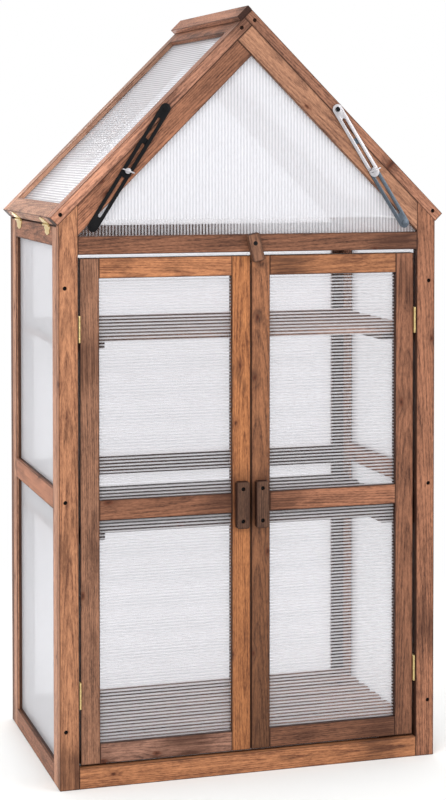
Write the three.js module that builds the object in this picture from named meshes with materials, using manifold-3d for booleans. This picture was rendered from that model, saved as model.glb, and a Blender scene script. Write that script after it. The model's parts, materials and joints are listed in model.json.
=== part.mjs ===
// A wooden mini greenhouse: a tall cabinet of planed boards and twin-wall sheets with two
// doors, three slatted shelves, and a steep roof whose two halves open on slotted stays.
// Millimetres, +Z up, the front faces -Y. The origin is at the middle of the base.
import * as THREE from 'three';
import { mergeVertices } from 'three/addons/utils/BufferGeometryUtils.js';
import Module from 'manifold-3d';

const wasm = await Module();
wasm.setup();

// Driving sizes of the whole greenhouse
const width = 750; // across the two front posts
const depth = 485; // front face to back face
const wallHeight = 1053; // top of the two side frames
const eaveHeight = 1057; // underside of the roof over the outer face of the walls
const roofPitch = 45; // degrees

// Stock that it is all made from
const boardWidth = 37;
const boardThickness = 20;
const roofThickness = 20.5;
const gableWidth = 40; // width of the four gable rafters
const sheetThickness = 4;
const sheetRecess = 10; // face of a board to face of the sheet in it
const grooveDepth = 6; // how far a sheet goes into its board
const play = 0.3; // between pieces that move or that meet at an angle

// Front frame
const topRailLow = 1001;
const topRailHigh = 1035;
const bottomRailHigh = 39;

// Side and back frames
const sideRailHeight = 37;
const sideMiddleRail = [520, 559];
const backMiddleRail = [509, 546];
const backPostWidth = 44;

// Doors
const doorRecess = 7; // door face behind the face of the posts
const doorSideGap = 4.5;
const doorMeetingGap = 2;
const doorTopGap = 7;
const doorBottomGap = 4;
const doorRailHeight = 38;
const doorMiddleRailLow = 502;

// Shelves
const shelfTops = { lower: 55, middle: 485, upper: 847 };
const slatCount = 7;
const slatWidth = 37;
const slatThickness = 13;
const shelfSideGap = 1;
const shelfDoorGap = 10;
const shelfBackGap = 3;
const battenWidth = 37;
const battenThickness = 13;
const battenInset = 38; // end of a slat to the batten under it
const cleatWidth = 20;
const cleatHeight = 14;

// Hinges, for the doors and for the roof
const knuckleRadius = 2.5;
const knuckleCount = 5;
const pinRadius = 1.2;
const leafThickness = 1.2;
const knuckleSides = 12;
const doorHingeLength = 50;
const doorLeafWidth = 14;
const doorHingeHeights = { lower: 175, upper: 862 };
const roofHingeLength = 52;
const roofLeafWidth = 19;
const roofHingeInset = 100; // middle of a hinge to the end of the eave

// Ridge cap
const capWidth = 31;
const capThickness = 11;
const capLap = 10; // how far it lies over the roof panel that carries it

// Handles and turn button
const handleWidth = 25;
const handleHeight = 90;
const handleThickness = 15;
const handleMiddle = 518;
const handleHoleSpacing = 62;
const edgeRound = 3;
const buttonWidth = 24;
const buttonAbove = 19; // pivot to the upper end
const buttonBelow = 35; // pivot to the lower end
const buttonThickness = 12.5;
const buttonTilt = 13; // degrees
const buttonAcross = 3; // pivot to the right of the middle
const buttonScrewRadius = 4;
const buttonScrewHeight = 1.5;

// Counterbores over the screws
const holeRadius = 4;
const holeDepth = 6;
const holeSides = 12;
const postHoleInset = 12;
const postHoleHeights = { low: 110, middle: 540, high: 939 };
const rafterHoleInset = 18; // end of a roof rafter to the hole

// Roof stays
const stayWidth = 20;
const stayThickness = 2;
const slotWidth = 6.4;
const upperArm = 138; // roof screw to wing nut
const upperArmTail = 8; // end of the slot to the round end
const lowerArm = 179; // foot screw to the far end of its slot
const slotStart = 24; // screw to the near end of a slot
const stayFootInset = 65; // outside of the post to the foot screw
const stayFootHeight = 1053;
const stayTopInset = 204; // outside of the post to the roof screw
const stayTopHeight = 1273;
const stayBoltRadius = 2.6;
const screwHeadRadius = 5;
const screwHeadHeight = 2;
const nutRadius = 5.5;
const nutHeight = 6;
const wingSpan = 13; // bolt to the tip of a wing
const wingHeight = 10;
const wingThickness = 2.4;
const wingRoot = 2; // foot of the nut to where the wings start
const wingTurn = 20; // degrees that the wings lean out of level
const boltProud = 4;
const arcSteps = 8;

// Overrun of a cutter past the face that it cuts
const overrun = 2;

// Places that follow from the sizes above
const half = width / 2;
const opening = half - boardWidth; // middle to the inner edge of a post
const pitch = THREE.MathUtils.degToRad(roofPitch);
const stayStack = 2 * stayThickness + 3 * play;
const frontReach = stayStack + nutHeight + boltProud; // how far the wing nuts stand out
const front = (frontReach - depth) / 2;
const back = front + depth;
const ridgeUnder = eaveHeight + half * Math.tan(pitch);
const slotThickness = sheetThickness + 2 * play;

const finishes = {
  honey: new THREE.MeshStandardMaterial({ color: '#a8744a', roughness: 0.7, metalness: 0 }),
  brown: new THREE.MeshStandardMaterial({ color: '#8f6447', roughness: 0.7, metalness: 0 }),
  grey: new THREE.MeshStandardMaterial({ color: '#7b5c4b', roughness: 0.75, metalness: 0 }),
  sheet: new THREE.MeshStandardMaterial({ color: '#e6e9ec', roughness: 0.35, metalness: 0 }),
  brass: new THREE.MeshStandardMaterial({ color: '#c9a552', roughness: 0.35, metalness: 1 }),
  black: new THREE.MeshStandardMaterial({ color: '#2b2c2e', roughness: 0.45, metalness: 0.8 }),
  steel: new THREE.MeshStandardMaterial({ color: '#8d949b', roughness: 0.4, metalness: 1 }),
  zinc: new THREE.MeshStandardMaterial({ color: '#c8ccd0', roughness: 0.3, metalness: 1 }),
};

const greenhouse = new THREE.Group();

// Adds one named piece to the greenhouse or to a turned group in it
function piece(name, geometry, finish, parent = greenhouse) {
  const mesh = new THREE.Mesh(geometry, finishes[finish]);
  mesh.name = name;
  parent.add(mesh);
  return mesh;
}

// A box from its lowest to its highest corner
function box(low, high) {
  const size = high.map((v, i) => v - low[i]);
  const geometry = new THREE.BoxGeometry(...size);
  return geometry.translate(...high.map((v, i) => (v + low[i]) / 2));
}

// An outline in X and Z, pushed back along Y from low to high
function slab(outline, low, high) {
  const shape = outline instanceof THREE.Shape
    ? outline
    : new THREE.Shape(outline.map(([x, z]) => new THREE.Vector2(x, z)));
  const geometry = new THREE.ExtrudeGeometry(shape, {
    depth: high - low,
    bevelEnabled: false,
    curveSegments: arcSteps,
  });
  return geometry.rotateX(Math.PI / 2).translate(0, high, 0);
}

// A closed geometry as a solid that can be joined and cut
function solid(geometry) {
  const bare = geometry.clone();
  bare.deleteAttribute('normal');
  bare.deleteAttribute('uv');
  const merged = mergeVertices(bare.index ? bare.toNonIndexed() : bare, 1e-5);
  return new wasm.Manifold(new wasm.Mesh({
    numProp: 3,
    vertProperties: new Float32Array(merged.attributes.position.array),
    triVerts: new Uint32Array(merged.index.array),
  }));
}

// A solid as a geometry again
function surface(body) {
  const mesh = body.getMesh();
  const geometry = new THREE.BufferGeometry();
  geometry.setAttribute('position', new THREE.BufferAttribute(mesh.vertProperties, 3));
  geometry.setIndex(new THREE.BufferAttribute(mesh.triVerts, 1));
  const flat = geometry.toNonIndexed();
  flat.computeVertexNormals();
  return flat;
}

const joined = (parts) => parts.map(solid).reduce((whole, part) => whole.add(part));
const cut = (body, cutters) => cutters.map(solid).reduce((left, part) => left.subtract(part), body);
const made = (parts, cutters = []) => surface(cut(joined(parts), cutters));

// A round bar along Y whose front end is at low
function bar(x, z, radius, low, high, sides = holeSides) {
  const geometry = new THREE.CylinderGeometry(radius, radius, high - low, sides);
  return geometry.translate(x, (low + high) / 2, z);
}

// The blind hole over a screw in a face at y
function counterbore(x, z, y) {
  return bar(x, z, holeRadius, y - overrun, y + holeDepth);
}

// Height of a line that runs down from the ridge on both sides, set square below the roof
function roofLine(x, below) {
  return ridgeUnder - Math.abs(x) * Math.tan(pitch) - below / Math.cos(pitch);
}

// The space of the sheet that stands in a frame whose face is at y
function sheetSlot(low, high, y) {
  const grow = grooveDepth + play;
  return box(
    [low[0] - grow, y + sheetRecess - play, low[1] - grow],
    [high[0] + grow, y + sheetRecess - play + slotThickness, high[1] + grow],
  );
}

// The sheet itself, over the opening from low to high
function sheetPane(low, high, y) {
  return box(
    [low[0] - grooveDepth, y + sheetRecess, low[1] - grooveDepth],
    [high[0] + grooveDepth, y + sheetRecess + sheetThickness, high[1] + grooveDepth],
  );
}

// Outline of the gable sheet, let into the boards round it, or with clearance of the groove
// that it stands in. Its lower corners stop at the posts.
function gableSheet(clearance) {
  const below = gableWidth + play - grooveDepth - clearance;
  const low = topRailHigh - grooveDepth - clearance;
  const peak = roofLine(0, below);
  const reach = Math.min((peak - low) / Math.tan(pitch), opening - play + 2 * clearance);
  const shoulder = roofLine(reach, below);
  const points = [[-reach, low], [reach, low], [0, peak]];
  if (shoulder - low < play) return points;
  return [[-reach, shoulder], ...points.slice(0, 2), [reach, shoulder], points[2]];
}

// The groove for it in the boards whose face is at y
function gableGroove(y) {
  const start = y + sheetRecess - play;
  return slab(gableSheet(play), start, start + slotThickness);
}

// Outline of a gable rafter: side is -1 for left, 1 for right. The one on the right runs up to
// the ridge and the one on the left butts against it.
function gableRafter(side) {
  const outer = (x) => roofLine(x, play);
  const inner = (x) => roofLine(x, play + gableWidth);
  const across = (gableWidth / Math.cos(pitch)) / (2 * Math.tan(pitch));
  const miterX = -across;
  const miterZ = outer(across);
  const foot = [[side * opening, outer(opening)], [side * opening, inner(opening)]];
  if (side > 0) return [...foot, [miterX, miterZ], [0, outer(0)]];
  const gap = play / Math.cos(pitch);
  return [...foot, [-gap, inner(gap)], [miterX - gap, miterZ - gap * Math.tan(pitch)]];
}

// The cutter that trims what reaches down to the top rail
const railTrim = (low, high) => box([-half, low - overrun, 0], [half, high + overrun, topRailHigh]);

function frontFrame() {
  for (const side of [-1, 1]) {
    const inner = side * opening;
    const outer = side * half;
    const post = slab(
      [[outer, 0], [inner, 0], [inner, roofLine(opening, play)], [outer, roofLine(half, play)]],
      front,
      front + boardThickness,
    );
    const holes = Object.values(postHoleHeights)
      .map((z) => counterbore(side * (half - postHoleInset), z, front));
    const name = side < 0 ? 'left' : 'right';
    piece(`front_${name}_post`, made([post], holes), side < 0 ? 'honey' : 'brown');
  }
  const rail = (low, high) => box([-opening, front, low], [opening, front + boardThickness, high]);
  piece('front_top_rail', made([rail(topRailLow, topRailHigh)], [gableGroove(front)]), 'brown');
  piece('front_bottom_rail', rail(0, bottomRailHigh), 'honey');
}

function gables() {
  const faces = { front, back: back - boardThickness };
  for (const [name, y] of Object.entries(faces)) {
    const cutters = [gableGroove(y), railTrim(y, y + boardThickness)];
    const board = (outline) => made([slab(outline, y, y + boardThickness)], cutters);
    if (name === 'front') {
      piece('front_left_gable_rafter', board(gableRafter(-1)), 'brown');
      piece('front_right_gable_rafter', board(gableRafter(1)), 'honey');
    } else {
      piece('back_gable_frame', board(gableChevron()), 'brown');
    }
    const pane = slab(gableSheet(0), y + sheetRecess, y + sheetRecess + sheetThickness);
    piece(`${name}_gable_sheet`, pane, 'sheet');
  }
}

// Outline of the two back rafters, glued up at the ridge into one piece
function gableChevron() {
  const edge = (below) => [-opening, 0, opening].map((x) => [x, roofLine(x, below)]);
  return [...edge(play), ...edge(play + gableWidth).reverse()];
}

// A side frame of two stiles and three rails, with its sheet let into a groove all round
function sideFrames() {
  const low = front + boardThickness;
  const high = back - boardThickness;
  for (const side of [-1, 1]) {
    const name = side < 0 ? 'left' : 'right';
    const shape = new THREE.Shape([
      [low, 0], [high, 0], [high, wallHeight], [low, wallHeight],
    ].map(([y, z]) => new THREE.Vector2(y, z)));
    const windows = [
      [sideRailHeight, sideMiddleRail[0]],
      [sideMiddleRail[1], wallHeight - sideRailHeight],
    ];
    const [near, far] = [low + boardWidth, high - boardWidth];
    for (const [bottom, top] of windows) {
      shape.holes.push(new THREE.Path([
        [near, bottom], [near, top], [far, top], [far, bottom],
      ].map(([y, z]) => new THREE.Vector2(y, z))));
    }
    const outside = side * half;
    const inside = side * (half - boardThickness);
    const frame = new THREE.ExtrudeGeometry(shape, { depth: boardThickness, bevelEnabled: false })
      .rotateX(Math.PI / 2).rotateZ(Math.PI / 2).translate(Math.min(outside, inside), 0, 0);
    const cleats = Object.values(shelfTops).map((top) => box(
      [Math.min(inside, inside - side * cleatWidth), low, top - slatThickness - cleatHeight],
      [Math.max(inside, inside - side * cleatWidth), high, top - slatThickness],
    ));
    const sheet = (grow, thick) => {
      const middle = side * (half - sheetRecess - sheetThickness / 2);
      return box(
        [middle - thick / 2, low + boardWidth - grow, sideRailHeight - grow],
        [middle + thick / 2, high - boardWidth + grow, wallHeight - sideRailHeight + grow],
      );
    };
    const groove = sheet(grooveDepth + play, slotThickness);
    piece(`${name}_side_frame`, surface(cut(joined([frame, ...cleats]), [groove])), 'brown');
    piece(`${name}_side_sheet`, sheet(grooveDepth, sheetThickness), 'sheet');
  }
}

// The back frame: two posts and three rails round one sheet
function backFrame() {
  const y = back - boardThickness;
  const inner = half - backPostWidth;
  const outline = [
    [-half, 0], [half, 0], [half, roofLine(half, play)], [opening, roofLine(opening, play)],
    [opening, topRailHigh], [-opening, topRailHigh], [-opening, roofLine(opening, play)],
    [-half, roofLine(half, play)],
  ];
  const shape = new THREE.Shape(outline.map(([x, z]) => new THREE.Vector2(x, z)));
  const windows = [[bottomRailHigh, backMiddleRail[0]], [backMiddleRail[1], topRailLow]];
  for (const [bottom, top] of windows) {
    shape.holes.push(new THREE.Path([
      [-inner, bottom], [-inner, top], [inner, top], [inner, bottom],
    ].map(([x, z]) => new THREE.Vector2(x, z))));
  }
  const low = [-inner, bottomRailHigh];
  const high = [inner, topRailLow];
  const grooves = [sheetSlot(low, high, y), gableGroove(y)];
  piece('back_frame', made([slab(shape, y, back)], grooves), 'brown');
  piece('back_sheet', sheetPane(low, high, y), 'sheet');
}

// Slats along X on two battens, lying on the cleats of the side frames
function shelves() {
  const low = front + doorRecess + boardThickness + shelfDoorGap;
  const high = back - boardThickness - shelfBackGap;
  const end = half - boardThickness - shelfSideGap;
  const step = (high - low - slatWidth) / (slatCount - 1);
  for (const [name, top] of Object.entries(shelfTops)) {
    const under = top - slatThickness;
    const slats = Array.from({ length: slatCount }, (_, i) => box(
      [-end, low + i * step, under],
      [end, low + i * step + slatWidth, top],
    ));
    const battens = [-1, 1].map((side) => {
      const outer = side * (end - battenInset);
      const inner = side * (end - battenInset - battenWidth);
      return box(
        [Math.min(outer, inner), low, under - battenThickness],
        [Math.max(outer, inner), high, under],
      );
    });
    piece(`${name}_shelf`, made([...slats, ...battens]), 'grey');
  }
}

// One half of a hinge about local Z. Its leaf lies flat at a distance from the pin, to the side
// given, and reaches along +Y. The half that is fixed holds the pin and every other knuckle.
function hingeHalf({ fixed, side, away, length, leaf }) {
  const step = length / knuckleCount;
  const radius = knuckleRadius;
  const parts = [];
  const bores = [];
  const near = side * (away - leafThickness);
  const far = side * away;
  const plate = (y0, y1, z0, z1) => box([Math.min(near, far), y0, z0], [Math.max(near, far), y1, z1]);
  for (let i = 0; i < knuckleCount; i += 1) {
    if ((i % 2 === 0) !== fixed) continue;
    const z0 = -length / 2 + i * step + (i > 0 ? play / 2 : 0);
    const z1 = -length / 2 + (i + 1) * step - (i < knuckleCount - 1 ? play / 2 : 0);
    const knuckle = new THREE.CylinderGeometry(radius, radius, z1 - z0, knuckleSides)
      .rotateX(Math.PI / 2).translate(0, 0, (z0 + z1) / 2);
    parts.push(knuckle, plate(0, radius + 2 * play, z0, z1));
    if (!fixed) {
      const reach = pinRadius + play;
      bores.push(new THREE.CylinderGeometry(reach, reach, z1 - z0 + overrun, knuckleSides)
        .rotateX(Math.PI / 2).translate(0, 0, (z0 + z1) / 2));
    }
  }
  parts.push(leaf(near, far, radius + play, length));
  if (fixed) {
    parts.push(new THREE.CylinderGeometry(pinRadius, pinRadius, length, knuckleSides)
      .rotateX(Math.PI / 2));
  }
  return cut(joined(parts), bores);
}

// The plain leaf of a door hinge
function plainLeaf(near, far, start, length) {
  return box(
    [Math.min(near, far), start, -length / 2],
    [Math.max(near, far), doorLeafWidth, length / 2],
  );
}

// The shaped leaf of a roof hinge: full length at the knuckles, waisted, and rounded at its end
const leafOutlineShares = [
  [0.5, 0], [0.5, 0.22], [0.4, 0.34], [0.36, 0.5], [0.41, 0.62], [0.36, 0.8], [0.2, 0.86],
  [0.1, 1],
];
function shapedLeaf(near, far, start, length) {
  const reach = roofLeafWidth - start;
  const right = leafOutlineShares.map(([z, y]) => [z * length, start + y * reach]);
  const left = right.map(([z, y]) => [-z, y]).reverse();
  const shape = new THREE.Shape([...right, ...left].map(([z, y]) => new THREE.Vector2(z, y)));
  // Outline X is the length and outline Y the reach; pushed out, it becomes the thickness
  return new THREE.ExtrudeGeometry(shape, { depth: leafThickness, bevelEnabled: false })
    .rotateY(-Math.PI / 2)
    .translate(Math.max(near, far), 0, 0);
}

// Places a solid that was made about the origin: turns about an axis, then moves
function placed(body, turns, move) {
  let geometry = surface(body);
  for (const [axis, angle] of turns) geometry = geometry[`rotate${axis}`](angle);
  return geometry.translate(...move);
}

// Where the doors hang
const doorFront = front + doorRecess;
const doorAway = knuckleRadius + play;
const doorHinge = { x: opening - doorAway, y: doorFront - doorAway };
const doorOuter = opening - doorSideGap;
const doorInner = doorMeetingGap / 2;
const doorLow = bottomRailHigh + doorBottomGap;
const doorHigh = topRailLow - doorTopGap;

// A block with its four front edges rounded off, standing on a face at y
function easedBlock(x, z, wide, tall, y, thick) {
  const shape = new THREE.Shape();
  const w = wide / 2;
  const h = tall / 2;
  shape.moveTo(-w + edgeRound, -h).lineTo(w - edgeRound, -h).lineTo(w, -h + edgeRound)
    .lineTo(w, h - edgeRound).lineTo(w - edgeRound, h).lineTo(-w + edgeRound, h)
    .lineTo(-w, h - edgeRound).lineTo(-w, -h + edgeRound).closePath();
  return slab(shape, y - thick, y).translate(x, 0, z);
}

function doors() {
  for (const side of [-1, 1]) {
    const name = side < 0 ? 'left' : 'right';
    const span = (a, b, low, high) => box(
      [Math.min(side * a, side * b), doorFront, low],
      [Math.max(side * a, side * b), doorFront + boardThickness, high],
    );
    const outerInside = doorOuter - boardWidth;
    const innerInside = doorInner + boardWidth;
    const left = Math.min(side * outerInside, side * innerInside);
    const right = Math.max(side * outerInside, side * innerInside);
    const middleHigh = doorMiddleRailLow + doorRailHeight;
    const windows = {
      lower: [doorLow + doorRailHeight, doorMiddleRailLow],
      upper: [middleHigh, doorHigh - doorRailHeight],
    };
    const slots = Object.values(windows)
      .map(([low, high]) => sheetSlot([left, low], [right, high], doorFront));
    const hingeBody = ({ z, fixed }) => hingeHalf({
      fixed,
      side: fixed ? side : -side,
      away: fixed ? doorAway : doorSideGap - doorAway,
      length: doorHingeLength,
      leaf: plainLeaf,
    }).translate([side * doorHinge.x, doorHinge.y, z]);
    let hingeStile = cut(solid(span(outerInside, doorOuter, doorLow, doorHigh)), slots);
    for (const [level, z] of Object.entries(doorHingeHeights)) {
      piece(`${name}_door_${level}_hinge`, surface(hingeBody({ z, fixed: true })), 'brass');
      hingeStile = hingeStile.add(hingeBody({ z, fixed: false }));
    }
    piece(`${name}_door_hinge_stile`, surface(hingeStile), side < 0 ? 'grey' : 'brown');
    const board = (part, body, finish) => piece(`${name}_door_${part}`, made([body], slots), finish);
    const stile = span(doorInner, innerInside, doorLow, doorHigh);
    const rail = (low) => span(innerInside, outerInside, low, low + doorRailHeight);
    board('meeting_stile', stile, side < 0 ? 'honey' : 'grey');
    board('top_rail', rail(doorHigh - doorRailHeight), 'honey');
    board('middle_rail', rail(doorMiddleRailLow), 'brown');
    board('bottom_rail', rail(doorLow), 'brown');
    for (const [level, [low, high]] of Object.entries(windows)) {
      const pane = sheetPane([left, low], [right, high], doorFront);
      piece(`${name}_door_${level}_sheet`, pane, 'sheet');
    }
    const handleX = side * (doorInner + boardWidth / 2);
    const holes = [-1, 1].map((up) => counterbore(
      handleX, handleMiddle + (up * handleHoleSpacing) / 2, doorFront - handleThickness,
    ));
    const handle = easedBlock(
      handleX, handleMiddle, handleWidth, handleHeight, doorFront, handleThickness,
    );
    piece(`${name}_door_handle`, made([handle], holes), 'grey');
  }
}

// The roof, in a group for each half. Local X runs up the slope, local Z out of the slope, and
// the local Y axis is the pin of the hinges.
const roofAway = knuckleRadius + play;
const roofHinge = { side: 1, away: roofAway, length: roofHingeLength, leaf: shapedLeaf };
const hingeX = half + roofAway;
const hingeZ = wallHeight;
const roofRise = (eaveHeight - hingeZ) * Math.cos(pitch) - roofAway * Math.sin(pitch);
const underLength = hingeX * Math.cos(pitch) + (ridgeUnder - hingeZ) * Math.sin(pitch);
const endSlope = 1 / Math.tan(2 * pitch); // end of a panel leans by this at any other pitch

function roofPanel(side) {
  const name = side < 0 ? 'left' : 'right';
  const group = new THREE.Group();
  group.position.set(side * hingeX, 0, hingeZ);
  group.rotation.y = side < 0 ? -pitch : pitch - Math.PI;
  greenhouse.add(group);

  // The right half is turned over, so its outside is at local -Z
  const out = side < 0 ? 1 : -1;
  const low = roofRise;
  const high = roofRise + roofThickness;
  const lap = side < 0 ? -play : roofThickness / Math.sin(2 * pitch);
  const end = (n) => underLength + lap + (side < 0 ? 1 : -1) * (n - low) * endSlope;
  const strip = (start, stop, y0, y1) => slab([
    [start, out * low], [stop ?? end(low), out * low], [stop ?? end(high), out * high],
    [start, out * high],
  ], y0, y1);
  const inner = [front + boardWidth, back - boardWidth];
  const windowLow = roofAway + boardWidth;
  const windowHigh = end(low) - boardWidth;
  const pane = (grow, thick) => {
    const middle = out * (high - sheetRecess - sheetThickness / 2);
    return box(
      [windowLow - grow, inner[0] - grow, middle - thick / 2],
      [windowHigh + grow, inner[1] + grow, middle + thick / 2],
    );
  };
  const slot = pane(grooveDepth + play, slotThickness);
  const holes = (y) => [roofAway + rafterHoleInset, end(low) - rafterHoleInset]
    .map((x) => counterbore(x, (out * (low + high)) / 2, y));
  piece(`${name}_roof_front_rafter`,
    made([strip(roofAway, null, front, front + boardWidth)], [slot, ...holes(front)]), 'brown', group);
  piece(`${name}_roof_back_rafter`,
    made([strip(roofAway, null, back - boardWidth, back)], [slot]), 'honey', group);
  piece(`${name}_roof_top_rail`,
    made([strip(end(low) - boardWidth, null, ...inner)], [slot]), 'brown', group);
  let eaveRail = cut(joined([strip(roofAway, windowLow, ...inner)]), [slot]);
  for (const y of [front + roofHingeInset, back - roofHingeInset]) {
    // Turned so that the leaf lies on the end of the eave rail and reaches outwards
    const leaf = placed(
      hingeHalf({ ...roofHinge, fixed: false }),
      [['X', side < 0 ? Math.PI / 2 : -Math.PI / 2]],
      [0, y, 0],
    );
    eaveRail = eaveRail.add(solid(leaf));
  }
  piece(`${name}_roof_eave_rail`, surface(eaveRail), 'honey', group);
  piece(`${name}_roof_sheet`, pane(grooveDepth, sheetThickness), 'sheet', group);
  if (side < 0) {
    const capLow = underLength - capLap;
    const cap = box([capLow, front, high + play], [capLow + capWidth, back, high + play + capThickness]);
    piece('ridge_cap', cap, 'brown', group);
  }
}

// The halves of the roof hinges that are screwed to the side frames
function roofHinges() {
  for (const side of [-1, 1]) {
    for (const [end, y] of [['front', front + roofHingeInset], ['back', back - roofHingeInset]]) {
      const geometry = placed(
        hingeHalf({ ...roofHinge, fixed: true }),
        [['X', -Math.PI / 2], ...(side > 0 ? [['Z', Math.PI]] : [])],
        [side * hingeX, y, hingeZ],
      );
      piece(`${side < 0 ? 'left' : 'right'}_roof_${end}_hinge`, geometry, 'brass');
    }
  }
}

// A wooden button that turns on a screw in the top rail and holds both doors shut
function turnButton() {
  const group = new THREE.Group();
  group.position.set(buttonAcross, 0, (topRailLow + topRailHigh) / 2);
  group.rotation.y = -THREE.MathUtils.degToRad(buttonTilt);
  greenhouse.add(group);
  const high = front - play;
  const shape = easedBlock(
    0, (buttonAbove - buttonBelow) / 2, buttonWidth, buttonAbove + buttonBelow,
    high, buttonThickness,
  );
  const sink = bar(0, 0, buttonScrewRadius + play, high - buttonThickness - overrun,
    high - buttonThickness + buttonScrewHeight);
  piece('turn_button', made([shape], [sink]), 'grey', group);
}

// A flat bar from its screw to its far end, with a long slot. Local X runs along the bar.
function stayArm(slotEnd, tail, y) {
  const r = stayWidth / 2;
  const s = slotWidth / 2;
  const shape = new THREE.Shape();
  shape.absarc(0, 0, r, Math.PI / 2, (3 * Math.PI) / 2, false);
  shape.absarc(slotEnd + tail + s - r, 0, r, -Math.PI / 2, Math.PI / 2, false);
  const hole = new THREE.Path();
  hole.absarc(slotStart, 0, s, (3 * Math.PI) / 2, Math.PI / 2, true);
  hole.absarc(slotEnd - s, 0, s, Math.PI / 2, -Math.PI / 2, true);
  shape.holes.push(hole);
  return slab(shape, y, y + stayThickness);
}

// A stay: a lower arm on the gable rafter, an upper arm on the roof rafter, and the wing nut
// on the bolt that clamps them through their slots
function roofStay(side) {
  const name = side < 0 ? 'left' : 'right';
  const foot = new THREE.Vector2(side * (half - stayFootInset), stayFootHeight);
  const top = new THREE.Vector2(side * (half - stayTopInset), stayTopHeight);
  const closed = foot.distanceTo(top);
  const lean = Math.atan2(top.y - foot.y, top.x - foot.x);
  const lowerFace = front - play - stayThickness;
  const upperFace = lowerFace - play - stayThickness;

  const lower = new THREE.Group();
  lower.position.set(foot.x, 0, foot.y);
  lower.rotation.y = -lean;
  greenhouse.add(lower);
  const footScrew = bar(0, 0, screwHeadRadius, lowerFace - screwHeadHeight, lowerFace + play);
  piece(`${name}_stay_lower_arm`,
    made([stayArm(lowerArm + slotWidth / 2, upperArmTail, lowerFace), footScrew]),
    side < 0 ? 'black' : 'steel', lower);

  const upper = new THREE.Group();
  upper.position.set(top.x, 0, top.y);
  upper.rotation.y = Math.PI - lean;
  greenhouse.add(upper);
  const roofScrew = bar(0, 0, screwHeadRadius, upperFace - screwHeadHeight, front - play);
  piece(`${name}_stay_upper_arm`,
    made([stayArm(upperArm + slotWidth / 2, upperArmTail, upperFace), roofScrew]),
    side < 0 ? 'black' : 'zinc', upper);

  const nut = new THREE.Group();
  const bolt = foot.clone().lerp(top, (closed - upperArm) / closed);
  nut.position.set(bolt.x, 0, bolt.y);
  nut.rotation.y = -side * THREE.MathUtils.degToRad(wingTurn);
  greenhouse.add(nut);
  const seat = upperFace - play;
  const wing = (turn) => slab([
    [0, -wingThickness / 2], [wingSpan - wingThickness, -wingThickness / 2],
    [wingSpan, 0], [wingSpan - wingThickness, wingThickness / 2], [0, wingThickness / 2],
  ], seat - wingHeight, seat - wingRoot).rotateY(turn);
  const core = bar(0, 0, nutRadius, seat - nutHeight, seat);
  const shank = bar(0, 0, stayBoltRadius, seat - nutHeight - boltProud, front - 2 * play);
  piece(`${name}_stay_wing_nut`, made([core, shank, wing(0), wing(Math.PI)]), 'zinc', nut);
}

frontFrame();
gables();
sideFrames();
backFrame();
shelves();
doors();
for (const side of [-1, 1]) roofPanel(side);
roofHinges();
turnButton();
for (const side of [-1, 1]) roofStay(side);

export default greenhouse;
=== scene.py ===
"""Looks of a wooden mini greenhouse: planed and scorched fir boards, milky twin-wall sheets,
brass hinges and slotted steel stays. Lengths are in metres unless a name says mm."""

import json
import math
import random

import bmesh
import bpy
from bpy.props import FloatProperty, FloatVectorProperty, PointerProperty
from mathutils import Matrix, Vector

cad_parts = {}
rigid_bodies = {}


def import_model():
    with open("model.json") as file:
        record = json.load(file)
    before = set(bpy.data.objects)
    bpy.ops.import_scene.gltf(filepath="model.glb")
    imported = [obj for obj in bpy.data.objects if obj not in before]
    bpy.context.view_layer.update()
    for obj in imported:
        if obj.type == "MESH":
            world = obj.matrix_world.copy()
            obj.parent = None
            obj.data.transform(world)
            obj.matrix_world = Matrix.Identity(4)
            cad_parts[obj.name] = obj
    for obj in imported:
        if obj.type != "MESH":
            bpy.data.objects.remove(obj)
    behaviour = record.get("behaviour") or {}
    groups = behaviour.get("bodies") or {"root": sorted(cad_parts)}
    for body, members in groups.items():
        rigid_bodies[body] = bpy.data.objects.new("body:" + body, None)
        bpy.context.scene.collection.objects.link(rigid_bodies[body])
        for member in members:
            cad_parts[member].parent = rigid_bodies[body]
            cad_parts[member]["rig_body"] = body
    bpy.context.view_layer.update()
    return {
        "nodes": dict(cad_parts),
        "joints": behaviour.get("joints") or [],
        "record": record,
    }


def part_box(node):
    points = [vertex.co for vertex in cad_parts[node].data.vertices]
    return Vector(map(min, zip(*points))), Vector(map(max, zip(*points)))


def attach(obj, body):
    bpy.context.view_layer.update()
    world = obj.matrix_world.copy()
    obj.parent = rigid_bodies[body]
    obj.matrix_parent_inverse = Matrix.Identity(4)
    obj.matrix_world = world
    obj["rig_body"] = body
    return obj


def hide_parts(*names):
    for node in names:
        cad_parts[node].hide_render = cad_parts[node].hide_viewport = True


bl_info = {
    "name": "Wooden Mini Greenhouse",
    "version": (1, 0, 0),
    "blender": (4, 5, 0),
    "location": "View3D > Sidebar > Greenhouse",
    "description": "Dresses the frame of a wooden mini greenhouse and sets its stage",
    "category": "Object",
}

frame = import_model()
MM = 0.001
IDENTITY = Matrix.Identity(4)
SIDES = ("left", "right")
# The side of each half, and the way to it along X
WAYS = (("left", -1), ("right", 1))


def linear(code):
    """An sRGB hex colour as linear red, green and blue."""
    parts = [int(code[i:i + 2], 16) / 255 for i in (1, 3, 5)]
    return tuple(c / 12.92 if c <= 0.04045 else ((c + 0.055) / 1.055) ** 2.4 for c in parts)


def colour(name, text, code):
    """A colour that the user may change, given as sRGB hex."""
    return FloatVectorProperty(
        name=name, description=text, subtype="COLOR", size=3, min=0, max=1, default=linear(code)
    )


def length_mm(name, text, value):
    """A length in millimetres that the user may change."""
    return FloatProperty(name=name, description=text, default=value, min=0)


def share(name, text, value):
    """A share between nothing and all that the user may change."""
    return FloatProperty(name=name, description=text, default=value, min=0, max=1, subtype="FACTOR")


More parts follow.
